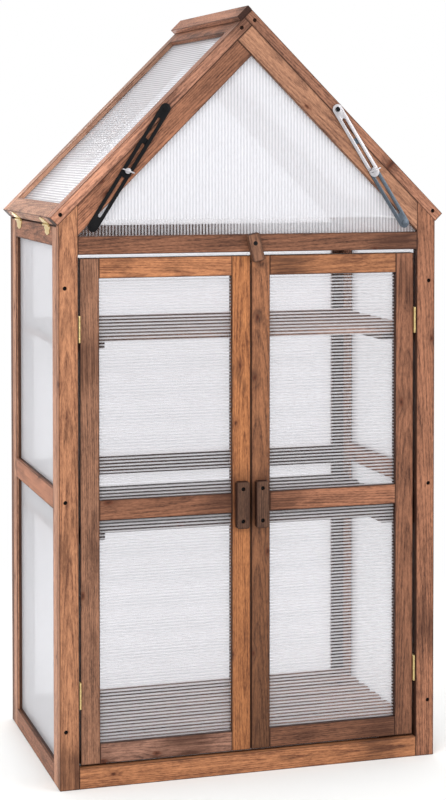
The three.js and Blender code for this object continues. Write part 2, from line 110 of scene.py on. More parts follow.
class GREENHOUSE_PG_fir(bpy.types.PropertyGroup):
    """Scorched and oiled fir."""

    honey_light: colour("Honey, early wood", "Pale wood of the warm boards", "#b97d55")
    honey_dark: colour("Honey, late wood", "Streaks of the warm boards", "#5d3524")
    brown_light: colour("Brown, early wood", "Pale wood of the red-brown boards", "#99674d")
    brown_dark: colour("Brown, late wood", "Streaks of the red-brown boards", "#41261c")
    grey_light: colour("Grey, early wood", "Pale wood of the cool boards", "#8c634c")
    grey_dark: colour("Grey, late wood", "Streaks of the cool boards", "#3d2820")
    scorch: colour("Scorch", "Where the torch has lingered", "#43271b")
    scorch_depth: share("Scorch depth", "How dark the blotches go", 0.45)
    knot: colour("Knot heart", "Middle of a knot", "#2a140c")
    knot_rim: colour("Knot rim", "Rim of a knot", "#5c2f1b")
    knot_chance: share("Knot chance", "Above it a cell has a knot", 0.72)
    ring_spacing: length_mm("Ring spacing mm", "Width of a growth ring", 3.6)
    ring_depth: share("Ring depth", "How dark the late wood is", 0.3)
    roughness: share("Roughness", "Of the oiled face", 0.58)
    gloss: share("Gloss", "Strength of the reflection", 0.2)
    burn_reach: length_mm("Burn reach mm", "Half the length of a burnt place", 72)
    ease: length_mm("Eased edge mm", "Width of the sanded edge of a board", 1.0)
    rim_reach: length_mm("Rim reach mm", "How far the torch has darkened an edge", 2.8)
    rim_depth: share("Rim depth", "How dark an edge is", 0.72)
    end_depth: share("End grain depth", "How dark a cut end is", 0.94)
    # Painted shade down in a bored hole
    hole_shade_depth: share("Pit depth", "How dark a bored hole is", 0.85)
    # Painted shade on a side that faces a narrow gap or the groove of a sheet
    gap_shade_depth: share("Side depth", "How dark a side in a gap is", 0.88)


class GREENHOUSE_PG_sheet(bpy.types.PropertyGroup):
    """Milky twin-wall polycarbonate."""

    # The milky line is brighter on a hazier sheet and darker on a clearer one: painted light
    milky: colour("Milky line", "Where a web scatters raking light", "#fbfbfe")
    milky_facing: colour("Milky line, facing", "Where a web hides the light behind it", "#f1eff2")
    clear: colour("Clear line", "Between two webs", "#e2e3e7")
    milky_veil: share("Milky veil", "How much a milky line hides", 0.47)
    clear_veil: share("Clear veil", "How much a clear line hides", 0.03)
    glow: share("Glow", "Share of the light that passes on", 0.5)
    haze_milky: share("Hazy milky veil", "The same where the light rakes", 0.74)
    haze_veil: share("Hazy clear veil", "The same where the light rakes", 0.62)
    rib_spacing: length_mm("Rib spacing mm", "From rib to rib", 6.3)
    rib_height: length_mm("Rib height mm", "How far a rib stands out of the skin", 0.12)


class GREENHOUSE_PG_metal(bpy.types.PropertyGroup):
    """Hinges, stays and screws."""

    brass: colour("Brass", "Lacquered brass of the hinges", "#d9c188")
    black: colour("Black steel", "Paint of the left stay", "#0e0e10")
    blued: colour("Blued steel", "Lower arm of the right stay", "#59616a")
    zinc: colour("Zinc", "Bright plating of the wing nuts", "#bdbabd")


class GREENHOUSE_PG_stage(bpy.types.PropertyGroup):
    """Camera, lamps and floor."""

    camera_place: FloatVectorProperty(
        name="Camera", description="Where the camera stands", subtype="TRANSLATION", unit="LENGTH",
        default=(-1.1128, -3.7817, 1.2081),
    )
    camera_turn: FloatProperty(name="Turn", description="Turn to the right", subtype="ANGLE",
                               default=math.radians(17.37))
    camera_tip: FloatProperty(name="Tip", description="Tip down", subtype="ANGLE",
                              default=math.radians(1.902))
    focal_px: FloatProperty(name="Focal length", description="In pixels of the frame",
                            subtype="PIXEL", default=1955.4)
    shift: FloatVectorProperty(name="Shift", description="Shares of the frame's height", size=2,
                               default=(-0.0343, -0.24))
    floor: colour("Floor", "Pale floor", "#eeefee")
    floor_near: FloatProperty(name="Floor near", description="Solid up to here", default=0.75,
                              unit="LENGTH")
    floor_far: FloatProperty(name="Floor far", description="Gone from here on", default=1.7,
                             unit="LENGTH")


def settings(group):
    """The values of a property group."""
    return getattr(bpy.context.scene, "greenhouse_" + group)


MATH = "ShaderNodeMath"
VECTOR_MATH = "ShaderNodeVectorMath"
RANGE = "ShaderNodeMapRange"
NOISE = "ShaderNodeTexNoise"
SEPARATE = "ShaderNodeSeparateXYZ"
ATTRIBUTE = "ShaderNodeAttribute"
PLACE = "ShaderNodeTexCoord"
PRINCIPLED = "ShaderNodeBsdfPrincipled"
SURFACE = "ShaderNodeOutputMaterial"
# The Mix node has its colours at these inputs, and their mix at this output
MIX = "ShaderNodeMix"
FACTOR, UNDER, OVER = 0, 6, 7
MIXED = 2


def add(tree, kind, links=None, **values):
    """Adds a node with its settings. Links maps an input to a value, a socket or a node, and a
    node stands for its first output."""
    made = tree.nodes.new(kind)
    for name, value in values.items():
        setattr(made, name, value)
    for name, value in (links or {}).items():
        socket = made.inputs[name]
        if isinstance(value, bpy.types.Node):
            value = value.outputs[0]
        if isinstance(value, bpy.types.NodeSocket):
            tree.links.new(value, socket)
        else:
            socket.default_value = value
    return made


def new_material(name):
    """A material without nodes."""
    made = bpy.data.materials.new(name + "_finish")
    made.use_nodes = True
    made.node_tree.nodes.clear()
    return made


def rgba(value):
    """A colour with full alpha."""
    return (*value, 1.0)


# What each vertex of a board knows
VECTOR_FACTS = ("grain", "board", "half")
NUMBER_FACTS = ("burn", "fade", "warmth", "gap_shade", "lip")

# Patterns in fir: length along the board and width across it in mm, detail and roughness
PATTERNS = {
    "sway": (500, 125, 2.0, 0.5),
    "ragged": (8.3, 6.3, 4.0, 0.7),
    "fibre": (11.8, 2.17, 3.0, 0.8),
    "streak": (286, 6.7, 4.0, 0.7),
    "blotch": (111, 29.4, 4.0, 0.6),
    "scorch": (83.3, 23.8, 4.0, 0.6),
}
KNOT_CELL = (111, 59)
# Where the body, the heart and the halo of a knot start and stop to fade, in knot sizes
KNOT_PARTS = ((0.6, 1.2), (0.1, 0.7), (0.8, 4.0))
# In cells: the size of the smallest knot, how much larger it may be and how ragged its edge is
KNOT_SIZE = 0.04
KNOT_SPREAD = 0.05
KNOT_RAGGED = 0.09
# How far the growth rings sway, how they lean along the board and bend round a knot
RING_SWAY = 11 * MM
RING_LEAN = 0.035
RING_BEND = 3 * MM
# How far to the side the pith of a board of tone one is
PITH_ASIDE = 14 * MM
# Where in a ring the late wood starts and is full, and where it fades and ends
RING_RISE = (0.35, 0.85)
RING_FALL = (0.88, 1.0)
# How far the blotches move the ends of a burnt stretch, and its full part
BURN_WANDER = 0.12
BURN_CORE = 0.2
# The streaks between which a burnt stretch goes from faint to full
BURN_STREAKS = (0.35, 0.6)
BURN_FAINT = 0.5
# The dark rim of an edge starts past the eased edge, and the streaks move it
RIM_START = 1.0 * MM
RIM_RAGGED = 2.0 * MM
# Depths between which a cut face, the lip of a gap and a bored hole fade; the darkening of a side in
# a gap and of a bored hole is painted shade
CUT_FADE = (0.3 * MM, 1.2 * MM)
LIP_FADE = 1.5 * MM
HOLE_SHADE_FADE = (1.6 * MM, 3.0 * MM)
# Noise between which the torch has scorched the wood
SCORCH_BAND = (0.52, 0.72)
# How far the roughness of a face goes up and down
ROUGH_SWING = 0.3
# How strongly each pattern pulls the wood from light to dark, and where that starts
FIBRE_SHADE = 1.9
STREAK_SHADE = 1.4
BLOTCH_SHADE = 0.8
SHADE_START = -1.72
TONE_STEP = 0.13


def stretched(tree, grain, spot, long_mm, wide_mm):
    """The place in a board, in patterns of a length and a width, moved by the board's seed."""
    stretch = (1 / (long_mm * MM), 1 / (wide_mm * MM), 1 / (wide_mm * MM))
    return add(tree, VECTOR_MATH, {0: grain, 1: stretch, 2: spot}, operation="MULTIPLY_ADD")


def fir_patterns(tree, grain, spot):
    """The noise patterns of the wood, each longer along the board than across it."""
    made = {}
    for name, (long_mm, wide_mm, detail, rough) in PATTERNS.items():
        place = stretched(tree, grain, spot, long_mm, wide_mm)
        links = {"Vector": place, "Scale": 1.0, "Detail": detail, "Roughness": rough}
        made[name] = add(tree, NOISE, links)
    return made


def fir_knots(tree, grain, spot, ragged):
    """The body, the heart and the halo of the knots, which some of the cells have."""
    place = stretched(tree, grain, spot, *KNOT_CELL)
    cells = add(tree, "ShaderNodeTexVoronoi", {"Vector": place, "Scale": 1.0},
                voronoi_dimensions="2D")
    chance, kind = add(tree, SEPARATE, {0: cells.outputs["Color"]}).outputs[:2]
    has_knot = add(tree, MATH, {0: chance, 1: settings("fir").knot_chance},
                   operation="GREATER_THAN")
    size = add(tree, MATH, {0: kind, 1: KNOT_SPREAD, 2: KNOT_SIZE}, operation="MULTIPLY_ADD")
    ragged = add(tree, MATH, {0: ragged, 1: KNOT_RAGGED, 2: -KNOT_RAGGED / 2},
                 operation="MULTIPLY_ADD")
    away = add(tree, MATH, {0: cells.outputs["Distance"], 1: ragged}, operation="ADD")
    edge = add(tree, MATH, {0: away, 1: size}, operation="DIVIDE")
    parts = []
    for start, stop in KNOT_PARTS:
        inside = add(tree, RANGE, {"Value": edge, 1: start, 2: stop, 3: 1.0, 4: 0.0},
                     interpolation_type="SMOOTHSTEP")
        parts.append(add(tree, MATH, {0: inside, 1: has_knot}, operation="MULTIPLY"))
    return parts


def fir_rings(tree, place, facts, sway, halo):
    """The late wood of growth rings round a pith that runs slightly out of line with the board
    and bends round the knots."""
    along, across, through = place
    tone, pith = facts
    sway = add(tree, MATH, {0: sway, 1: RING_SWAY, 2: -RING_SWAY / 2}, operation="MULTIPLY_ADD")
    lean = add(tree, MATH, {0: along, 1: RING_LEAN, 2: pith}, operation="MULTIPLY_ADD")
    depth = add(tree, MATH, {0: lean, 1: through}, operation="ADD")
    offset = add(tree, MATH, {0: tone, 1: PITH_ASIDE, 2: across}, operation="MULTIPLY_ADD")
    depth_square = add(tree, MATH, {0: depth, 1: depth}, operation="MULTIPLY")
    square = add(tree, MATH, {0: offset, 1: offset, 2: depth_square}, operation="MULTIPLY_ADD")
    radius = add(tree, MATH, {0: square}, operation="SQRT")
    radius = add(tree, MATH, {0: radius, 1: sway}, operation="ADD")
    radius = add(tree, MATH, {0: halo, 1: RING_BEND, 2: radius}, operation="MULTIPLY_ADD")
    turns = add(tree, MATH, {0: radius, 1: settings("fir").ring_spacing * MM}, operation="DIVIDE")
    phase = add(tree, MATH, {0: turns}, operation="FRACT")
    rise = add(tree, RANGE, {"Value": phase, 1: RING_RISE[0], 2: RING_RISE[1]},
               interpolation_type="SMOOTHSTEP")
    fall = add(tree, RANGE, {"Value": phase, 1: RING_FALL[0], 2: RING_FALL[1], 3: 1.0, 4: 0.0},
               interpolation_type="SMOOTHSTEP")
    return add(tree, MATH, {0: rise, 1: fall}, operation="MULTIPLY")


def fir_burn(tree, along, burnt_at, blotch, streak):
    """The stretch of a board on which the torch has lingered."""
    reach = settings("fir").burn_reach * MM
    away = add(tree, MATH, {0: along, 1: burnt_at}, operation="SUBTRACT")
    away = add(tree, MATH, {0: away}, operation="ABSOLUTE")
    away = add(tree, MATH, {0: away, 1: -BURN_WANDER / 2}, operation="ADD")
    away = add(tree, MATH, {0: blotch, 1: BURN_WANDER, 2: away}, operation="MULTIPLY_ADD")
    burn = add(tree, RANGE, {"Value": away, 1: BURN_CORE * reach, 2: reach, 3: 1.0, 4: 0.0},
               interpolation_type="SMOOTHSTEP")
    low, high = BURN_STREAKS
    streaks = add(tree, RANGE, {"Value": streak, 1: low, 2: high, 3: BURN_FAINT, 4: 1.0},
                  interpolation_type="SMOOTHSTEP")
    return add(tree, MATH, {0: burn, 1: streaks}, operation="MULTIPLY")


def fir_edges(tree, vectors, numbers, streak):
    """Edges and cut ends, which burn first, and painted shade in bored holes and on sides that face a
    gap.
    """
    look = settings("fir")
    inside = add(tree, VECTOR_MATH, {0: vectors["grain"]}, operation="ABSOLUTE")
    inside = add(tree, VECTOR_MATH, {0: vectors["half"], 1: inside}, operation="SUBTRACT")
    x, y, z = add(tree, SEPARATE, {0: inside}).outputs[:3]
    nearest = add(tree, MATH, {0: y, 1: z}, operation="MINIMUM")
    nearest = add(tree, MATH, {0: x, 1: nearest}, operation="MINIMUM")
    farthest = add(tree, MATH, {0: y, 1: z}, operation="MAXIMUM")
    farthest = add(tree, MATH, {0: x, 1: farthest}, operation="MAXIMUM")
    total = add(tree, MATH, {0: y, 1: z}, operation="ADD")
    total = add(tree, MATH, {0: x, 1: total}, operation="ADD")
    # The middle one of the three is the way to the nearest edge
    to_edge = add(tree, MATH, {0: total, 1: nearest}, operation="SUBTRACT")
    to_edge = add(tree, MATH, {0: to_edge, 1: farthest}, operation="SUBTRACT")
    to_edge = add(tree, MATH, {0: to_edge, 1: -RIM_START}, operation="ADD")
    to_edge = add(tree, MATH, {0: streak, 1: RIM_RAGGED, 2: to_edge}, operation="MULTIPLY_ADD")
    lip_start = add(tree, MATH, {0: numbers["lip"], 1: -LIP_FADE}, operation="ADD")
    rows = {
        "rim": (to_edge, 0.0, look.rim_reach * MM, look.rim_depth, 0.0),
        "end": (x, *CUT_FADE, look.end_depth, 0.0),
        # Painted shade on a side that faces a gap, from the lip inwards
        "shaded_flank": (y, *CUT_FADE, look.gap_shade_depth, 0.0),
        "lip": (z, lip_start, numbers["lip"], 0.0, 1.0),
        # Painted shade down in a bored hole, far inside the board's box
        "pit": (nearest, *HOLE_SHADE_FADE, 0.0, look.hole_shade_depth),
    }
    dark = {}
    for name, (value, start, stop, low, high) in rows.items():
        dark[name] = add(tree, RANGE, {"Value": value, 1: start, 2: stop, 3: low, 4: high},
                         interpolation_type="SMOOTHSTEP")
    shaded_flank = add(tree, MATH, {0: dark["shaded_flank"], 1: numbers["gap_shade"]}, operation="MULTIPLY")
    darkest = add(tree, MATH, {0: shaded_flank, 1: dark["lip"]}, operation="MULTIPLY")
    for name in ("rim", "end", "pit"):
        darkest = add(tree, MATH, {0: darkest, 1: dark[name]}, operation="MAXIMUM")
    return darkest


def fir_material(name, light, dark):
    """Planed fir, scorched and oiled: a satin brown with dark streaks, knots, blotches and
    edges, and painted shade in gaps and bored holes. The grain attribute is the place in the
    board: along it, across it and through it. The board attribute is its seed, its tone and how
    far off its pith is, and the half attribute is half its size."""
    look = settings("fir")
    tree = new_material(name).node_tree
    vectors = {fact: add(tree, ATTRIBUTE, attribute_name=fact).outputs["Vector"]
               for fact in VECTOR_FACTS}
    numbers = {fact: add(tree, ATTRIBUTE, attribute_name=fact).outputs["Fac"]
               for fact in NUMBER_FACTS}
    seed, tone, pith = add(tree, SEPARATE, {0: vectors["board"]}).outputs[:3]
    place = add(tree, SEPARATE, {0: vectors["grain"]}).outputs[:3]
    spot = add(tree, "ShaderNodeCombineXYZ", {0: seed, 1: seed, 2: seed})
    pattern = fir_patterns(tree, vectors["grain"], spot)
    fibre, streak, blotch = pattern["fibre"], pattern["streak"], pattern["blotch"]
    knot, heart, halo = fir_knots(tree, vectors["grain"], spot, pattern["ragged"])
    ring = fir_rings(tree, place, (tone, pith), pattern["sway"], halo)

    shade = SHADE_START
    for part, weight in ((ring, look.ring_depth), (fibre, FIBRE_SHADE), (streak, STREAK_SHADE),
                         (blotch, BLOTCH_SHADE)):
        shade = add(tree, MATH, {0: part, 1: weight, 2: shade}, operation="MULTIPLY_ADD")
    wood = add(tree, MIX, {FACTOR: shade, UNDER: rgba(light), OVER: rgba(dark)},
               data_type="RGBA", clamp_factor=True).outputs[MIXED]
    level = add(tree, MATH, {0: place[0], 1: numbers["fade"], 2: 1.0}, operation="MULTIPLY_ADD")
    level = add(tree, MATH, {0: tone, 1: TONE_STEP, 2: level}, operation="MULTIPLY_ADD")
    wood = add(tree, "ShaderNodeHueSaturation",
               {"Saturation": numbers["warmth"], "Value": level, "Color": wood})

    burn = fir_burn(tree, place[0], numbers["burn"], blotch, streak)
    scorch = add(tree, RANGE, {"Value": pattern["scorch"], 1: SCORCH_BAND[0], 2: SCORCH_BAND[1]},
                 interpolation_type="SMOOTHSTEP")
    # Scorched edges and cut ends, and painted shade in gaps and bored holes
    edges = fir_edges(tree, vectors, numbers, streak)
    layers = (
        (burn, 0.8, look.scorch),
        (scorch, look.scorch_depth, look.scorch),
        (halo, 0.35, dark),
        (knot, 0.7, look.knot_rim),
        (heart, 0.7, look.knot),
        (edges, 1.0, look.knot),
    )
    for part, strength, tint in layers:
        amount = add(tree, MATH, {0: part, 1: strength}, operation="MULTIPLY")
        wood = add(tree, MIX, {FACTOR: amount, UNDER: wood, OVER: rgba(tint)},
                   data_type="RGBA", clamp_factor=True).outputs[MIXED]

    rough = add(tree, MATH, {0: fibre, 1: ROUGH_SWING, 2: look.roughness - ROUGH_SWING / 2},
                operation="MULTIPLY_ADD")
    # The late wood stands lower than the fibres and the streaks
    height = 0.0
    for part, weight in ((ring, -0.3), (fibre, 0.6), (streak, 0.5)):
        height = add(tree, MATH, {0: part, 1: weight, 2: height}, operation="MULTIPLY_ADD")
    relief = add(tree, "ShaderNodeBump", {"Strength": 0.45, "Distance": 0.3 * MM, "Height": height})
    shader = add(tree, PRINCIPLED, {
        "Base Color": wood, "Roughness": rough, "IOR": 1.5, "Specular IOR Level": look.gloss,
        "Normal": relief,
    })
    add(tree, SURFACE, {0: shader})


# How far off the clear middle, in rib spacings, a line starts to be milky and is so fully
MILKY_BAND = (0.19, 0.35)


def sheet_material(name):
    """Extruded twin-wall polycarbonate, two flat skins on thin webs: a clear line beside a milky
    one, over and over. The rib attribute is the place across the ribs, and the haze attribute is
    how far the light rakes over the sheet, which veils it and paints its milky lines brighter as
    painted light."""
    look = settings("sheet")
    tree = new_material(name).node_tree
    across = add(tree, ATTRIBUTE, attribute_name="rib").outputs["Fac"]
    haze = add(tree, ATTRIBUTE, attribute_name="haze").outputs["Fac"]
    turns = add(tree, MATH, {0: across, 1: look.rib_spacing * MM}, operation="DIVIDE")
    phase = add(tree, MATH, {0: turns}, operation="FRACT")
    middle = add(tree, MATH, {0: phase, 1: 0.5}, operation="SUBTRACT")
    distance = add(tree, MATH, {0: middle}, operation="ABSOLUTE")
    milky = add(tree, RANGE, {"Value": distance, 1: MILKY_BAND[0], 2: MILKY_BAND[1]},
                interpolation_type="SMOOTHSTEP")
    # Painted light: the milky lines get brighter as the haze rises
    web = add(tree, MIX, {FACTOR: haze, UNDER: rgba(look.milky_facing), OVER: rgba(look.milky)},
              data_type="RGBA").outputs[MIXED]
    tint = add(tree, MIX, {FACTOR: milky, UNDER: rgba(look.clear), OVER: web},
               data_type="RGBA").outputs[MIXED]
    clear_veil = add(tree, RANGE, {"Value": haze, 3: look.clear_veil, 4: look.haze_veil})
    # Unclamped, so that a haze below zero clears the milky lines too
    milky_veil = add(tree, RANGE, {"Value": haze, 3: look.milky_veil, 4: look.haze_milky},
                     clamp=False)
    hides = add(tree, RANGE, {"Value": milky, 3: clear_veil, 4: milky_veil})
    skin = add(tree, PRINCIPLED,
               {"Base Color": tint, "Roughness": 0.25, "IOR": 1.58, "Specular IOR Level": 0.4})
    glow = add(tree, "ShaderNodeBsdfTranslucent", {"Color": tint})
    body = add(tree, "ShaderNodeMixShader", {0: look.glow, 1: skin, 2: glow})
    clear = add(tree, "ShaderNodeBsdfTransparent")
    shader = add(tree, "ShaderNodeMixShader", {0: hides, 1: clear, 2: body})
    add(tree, SURFACE, {0: shader})


# Smudges are this many times as wide as the scratches
SMUDGE_SPREAD = 6
# Noise between which a smudge goes from its darkest shade to its lightest, and the shades
SMUDGE_BAND = (0.3, 0.7)
SMUDGE_SHADES = (0.88, 1.04)


def metal_material(name, tint, rough, metallic=1.0, wear_mm=1.5, gloss_level=0.5, dents=0.05):
    """Stamped sheet metal with faint scratches and smudges in its gloss."""
    tree = new_material(name).node_tree
    place = add(tree, PLACE).outputs["Object"]
    smudge = add(tree, NOISE,
                 {"Vector": place, "Scale": 1 / (wear_mm * MM) / SMUDGE_SPREAD, "Detail": 4.0})
    low, high = SMUDGE_BAND
    dark, light = SMUDGE_SHADES
    shade = add(tree, RANGE, {"Value": smudge, 1: low, 2: high, 3: dark, 4: light})
    face = add(tree, "ShaderNodeHueSaturation", {"Value": shade, "Color": rgba(tint)})
    gloss = add(tree, MATH, {0: smudge, 1: ROUGH_SWING, 2: rough - ROUGH_SWING / 2},
                operation="MULTIPLY_ADD")
    relief = add(tree, "ShaderNodeBump",
                 {"Strength": dents, "Distance": 0.1 * MM, "Height": smudge})
    shader = add(tree, PRINCIPLED, {
        "Base Color": face, "Metallic": metallic, "Roughness": gloss, "Normal": relief,
        "Specular IOR Level": gloss_level,
    })
    add(tree, SURFACE, {0: shader})


# A place that no board reaches, for a board with no burnt stretch
NO_BURN = 9.0
# Height of the handles, round which the stiles are burnt
HANDLES = 0.535
# Looks of the boards that show most: tone, place of a burnt stretch along the board, how it
# lightens along its length, and how strong its colour is
LOOKS = {
    "front_left_post": (0.0, 0.03, 0.15, 0.95),
    "front_right_post": (1.5, 0.25, 0.0, 1.0),
    "front_top_rail": (-1.4, 0.3, -0.2),
    "front_bottom_rail": (-0.2, 0.26),
    "front_left_gable_rafter": (1.6, NO_BURN, -1.4),
    "front_right_gable_rafter": (-0.9, NO_BURN, 0.0, 0.88),
    "left_door_hinge_stile": (2.0, 0.8),
    "left_door_meeting_stile": (-0.5, HANDLES, 0.25, 1.05),
    "left_door_top_rail": (1.0, NO_BURN),
    "left_door_middle_rail": (-0.9, -0.05),
    "left_door_bottom_rail": (1.1, -0.12, 0.0, 0.85),
    "left_door_handle": (-4.2, NO_BURN),
    "right_door_hinge_stile": (-0.5, 0.93, 0.35),
    "right_door_meeting_stile": (0.5, HANDLES, 1.1, 1.12),
    "right_door_top_rail": (-1.0, 0.07),
    "right_door_middle_rail": (1.8, 0.06),
    "right_door_bottom_rail": (-2.5, 0.27),
    "right_door_handle": (-3.7, NO_BURN),
    "turn_button": (-0.6, NO_BURN),
    "ridge_cap": (4.4, -0.23, 0.0, 0.95),
    "left_roof_eave_rail": (0.7, NO_BURN, 0.0, 0.82),
    "left_roof_front_rafter": (5.4, 0.545, -1.7, 0.92),
    "left_roof_back_rafter": (0.8, NO_BURN, -1.8, 0.8),
    "left_roof_top_rail": (1.0, -0.15),
    "right_roof_front_rafter": (2.0, NO_BURN, -1.0, 0.95),
}


def finish(slot):
    """The material made for a slot of the record."""
    return bpy.data.materials[slot + "_finish"]


def slot_of(node):
    """The material slot that the record gives a node."""
    rows = frame["record"]["subparts"]
    return next(row["material_slot"] for row in rows if row["node"] == node)


def body_of(node):
    """The body that a node rides on."""
    return frame["nodes"][node]["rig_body"]


def set_down(name, bm, node, slot=None, replaces=True, smooth=False):
    """Makes an object of a bmesh, finished in the node's slot and riding on its body."""
    mesh = bpy.data.meshes.new(name)
    bm.to_mesh(mesh)
    bm.free()
    mesh.polygons.foreach_set("use_smooth", [smooth] * len(mesh.polygons))
    made = bpy.data.objects.new(name, mesh)
    bpy.context.scene.collection.objects.link(made)
    slot = slot or slot_of(node)
    mesh.materials.append(finish(slot))
    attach(made, body_of(node))
    if replaces:
        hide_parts(node)


MERGE_WITHIN = 0.002 * MM
FLAT_WITHIN = math.radians(0.5)
SHARP_FROM = math.radians(28)
SMOOTH_BELOW = math.radians(31)


def merged_copy(node):
    """A CAD node's mesh as a bmesh with its vertices merged and its flat faces made whole."""
    bm = bmesh.new()
    bm.from_mesh(frame["nodes"][node].data)
    bmesh.ops.remove_doubles(bm, verts=bm.verts, dist=MERGE_WITHIN)
    bmesh.ops.dissolve_limit(
        bm, angle_limit=FLAT_WITHIN, use_dissolve_boundaries=False, verts=bm.verts, edges=bm.edges,
    )
    return bm


def ease_edges(bm, width):
    """Rounds over the sharp edges, as sanding does."""
    sharp = [e for e in bm.edges
             if len(e.link_faces) == 2 and e.calc_face_angle(0) > SHARP_FROM]
    bmesh.ops.bevel(
        bm, geom=sharp, offset=width, offset_type="OFFSET", segments=2, profile=0.5,
        affect="EDGES", clamp_overlap=True, material=-1,
    )


def smooth_rounds(bm):
    """Shades the round faces smooth and keeps the sharp edges sharp."""
    for edge in bm.edges:
        edge.smooth = edge.calc_face_angle(0) < SMOOTH_BELOW


def add_part(bm, part, place=IDENTITY):
    """Moves a part to its place and adds it to a bmesh."""
    bmesh.ops.transform(part, matrix=place, verts=part.verts)
    mesh = bpy.data.meshes.new("part")
    part.to_mesh(mesh)
    part.free()
    bm.from_mesh(mesh)
    bpy.data.meshes.remove(mesh)


def block(low, high):
    """A square block between two corners."""
    part = bmesh.new()
    bmesh.ops.create_cube(part, size=1.0)
    bmesh.ops.scale(part, vec=high - low, verts=part.verts)
    bmesh.ops.translate(part, vec=(low + high) / 2, verts=part.verts)
    return part


def cut_out(corners, push):
    """A flat outline of a few corners, pushed out to a solid."""
    part = bmesh.new()
    rim = [bmesh.ops.create_vert(part, co=corner)["vert"][0] for corner in corners]
    face = bmesh.ops.contextual_create(part, geom=rim)["faces"]
    lifted = bmesh.ops.extrude_face_region(part, geom=face)["geom"]
    bmesh.ops.translate(part, vec=push,
                        verts=[g for g in lifted if isinstance(g, bmesh.types.BMVert)])
    bmesh.ops.recalc_face_normals(part, faces=part.faces)
    return part


def bounds_of(points):
    """The lowest and the highest corner of some points."""
    return (Vector([min(p[i] for p in points) for i in range(3)]),
            Vector([max(p[i] for p in points) for i in range(3)]))


def bounds_in(node, turn):
    """A node's lowest and highest corner in a turned frame."""
    back = turn.inverted()
    return bounds_of([back @ v.co for v in frame["nodes"][node].data.vertices])


# Reach of the random tone of a board, and of the distance of its pith
TONES = (-1, 1)
PITHS = (12 * MM, 50 * MM)
SEEDS = (0, 90)


def mark_grain(bm, low, high, turn, chance, tone=None, burn=NO_BURN, fade=0.0, warmth=1.0,
               gaps=(0.0, 0.0), lip=0.0, behind=None):
    """Writes each vertex's place in its board, and the facts of the board: its seed, tone and
    pith, its size, where it is burnt, how it lightens along its length, how strong its colour
    is, how much painted shade its low and its high side get in a gap, from which depth on they
    get it, and the tone of its face behind, if it is another: a lighter tone there is painted light."""
    add_layers(bm)
    vectors = bm.verts.layers.float_vector
    grain, board, half = (vectors[name] for name in VECTOR_FACTS)
    numbers = bm.verts.layers.float
    size = high - low
    middle = (low + high) / 2
    order = sorted(range(3), key=lambda i: -size[i])
    reach = Vector([size[i] / 2 for i in order])
    back = turn.inverted()
    facts = Vector((chance.uniform(*SEEDS), chance.uniform(*TONES), chance.uniform(*PITHS)))
    if tone is not None:
        facts.y = tone
    for v in bm.verts:
        place = (back @ v.co) - middle
        v[grain] = Vector([place[i] for i in order])
        v[board] = facts
        if behind is not None and place.y > 0:
            v[board].y = behind
        v[half] = reach
        v[numbers["burn"]] = burn - middle[order[0]] if burn < NO_BURN else NO_BURN
        v[numbers["fade"]] = fade
        v[numbers["warmth"]] = warmth
        v[numbers["gap_shade"]] = gaps[place[order[1]] > 0]
        v[numbers["lip"]] = lip


def add_layers(bm):
    """Gives a bmesh the layers that a board needs, all before any of them is used."""
    for layers, names in ((bm.verts.layers.float_vector, VECTOR_FACTS),
                          (bm.verts.layers.float, NUMBER_FACTS)):
        for name in names:
            if name not in layers:
                layers.new(name)


def node_chance(name):
    """Random numbers that are the same each run and differ from board to board."""
    return random.Random(sum((i + 1) * ord(c) for i, c in enumerate(name)))


def gaps_of(node):
    """How much painted shade the low and the high side of a front board get where they face a gap."""
    if "_door_" in node:
        return 1.0, 1.0
    if node.endswith("_post"):
        return float("right" in node), float("left" in node)
    return 0.0, 0.0


def dress_board(node, turn=IDENTITY):
    """A board whose CAD shape is right, with eased edges and its own grain."""
    bm = merged_copy(node)
    ease_edges(bm, settings("fir").ease * MM)
    low, high = bounds_in(node, turn)
    mark_grain(bm, low, high, turn, node_chance(node), *LOOKS.get(node, ()), gaps=gaps_of(node))
    set_down(node + "_board", bm, node)


def add_board(bm, low, high, chance, turn=IDENTITY, look=(), **marks):
    """Adds a square board with eased edges between two corners of a turned frame."""
    part = block(low, high)
    ease_edges(part, settings("fir").ease * MM)
    bmesh.ops.transform(part, matrix=turn, verts=part.verts)
    mark_grain(part, low, high, turn, chance, *look, **marks)
    add_part(bm, part)


def add_plank(bm, outline, y0, y1, turn, chance, look=(), **marks):
    """Adds a board cut to an outline in X and Z, its grain along the longest axis that it has
    in a turned frame."""
    part = cut_out([(x, y0, z) for x, z in outline], (0, y1 - y0, 0))
    back = turn.inverted()
    low, high = bounds_of([back @ v.co for v in part.verts])
    ease_edges(part, settings("fir").ease * MM)
    mark_grain(part, low, high, turn, chance, *look, **marks)
    add_part(bm, part)


def board_bmesh():
    """An empty bmesh that already has the layers of a board."""
    bm = bmesh.new()
    add_layers(bm)
    return bm


class UndoOperator:
    """What every operator here shares."""

    bl_options = {"REGISTER", "UNDO"}


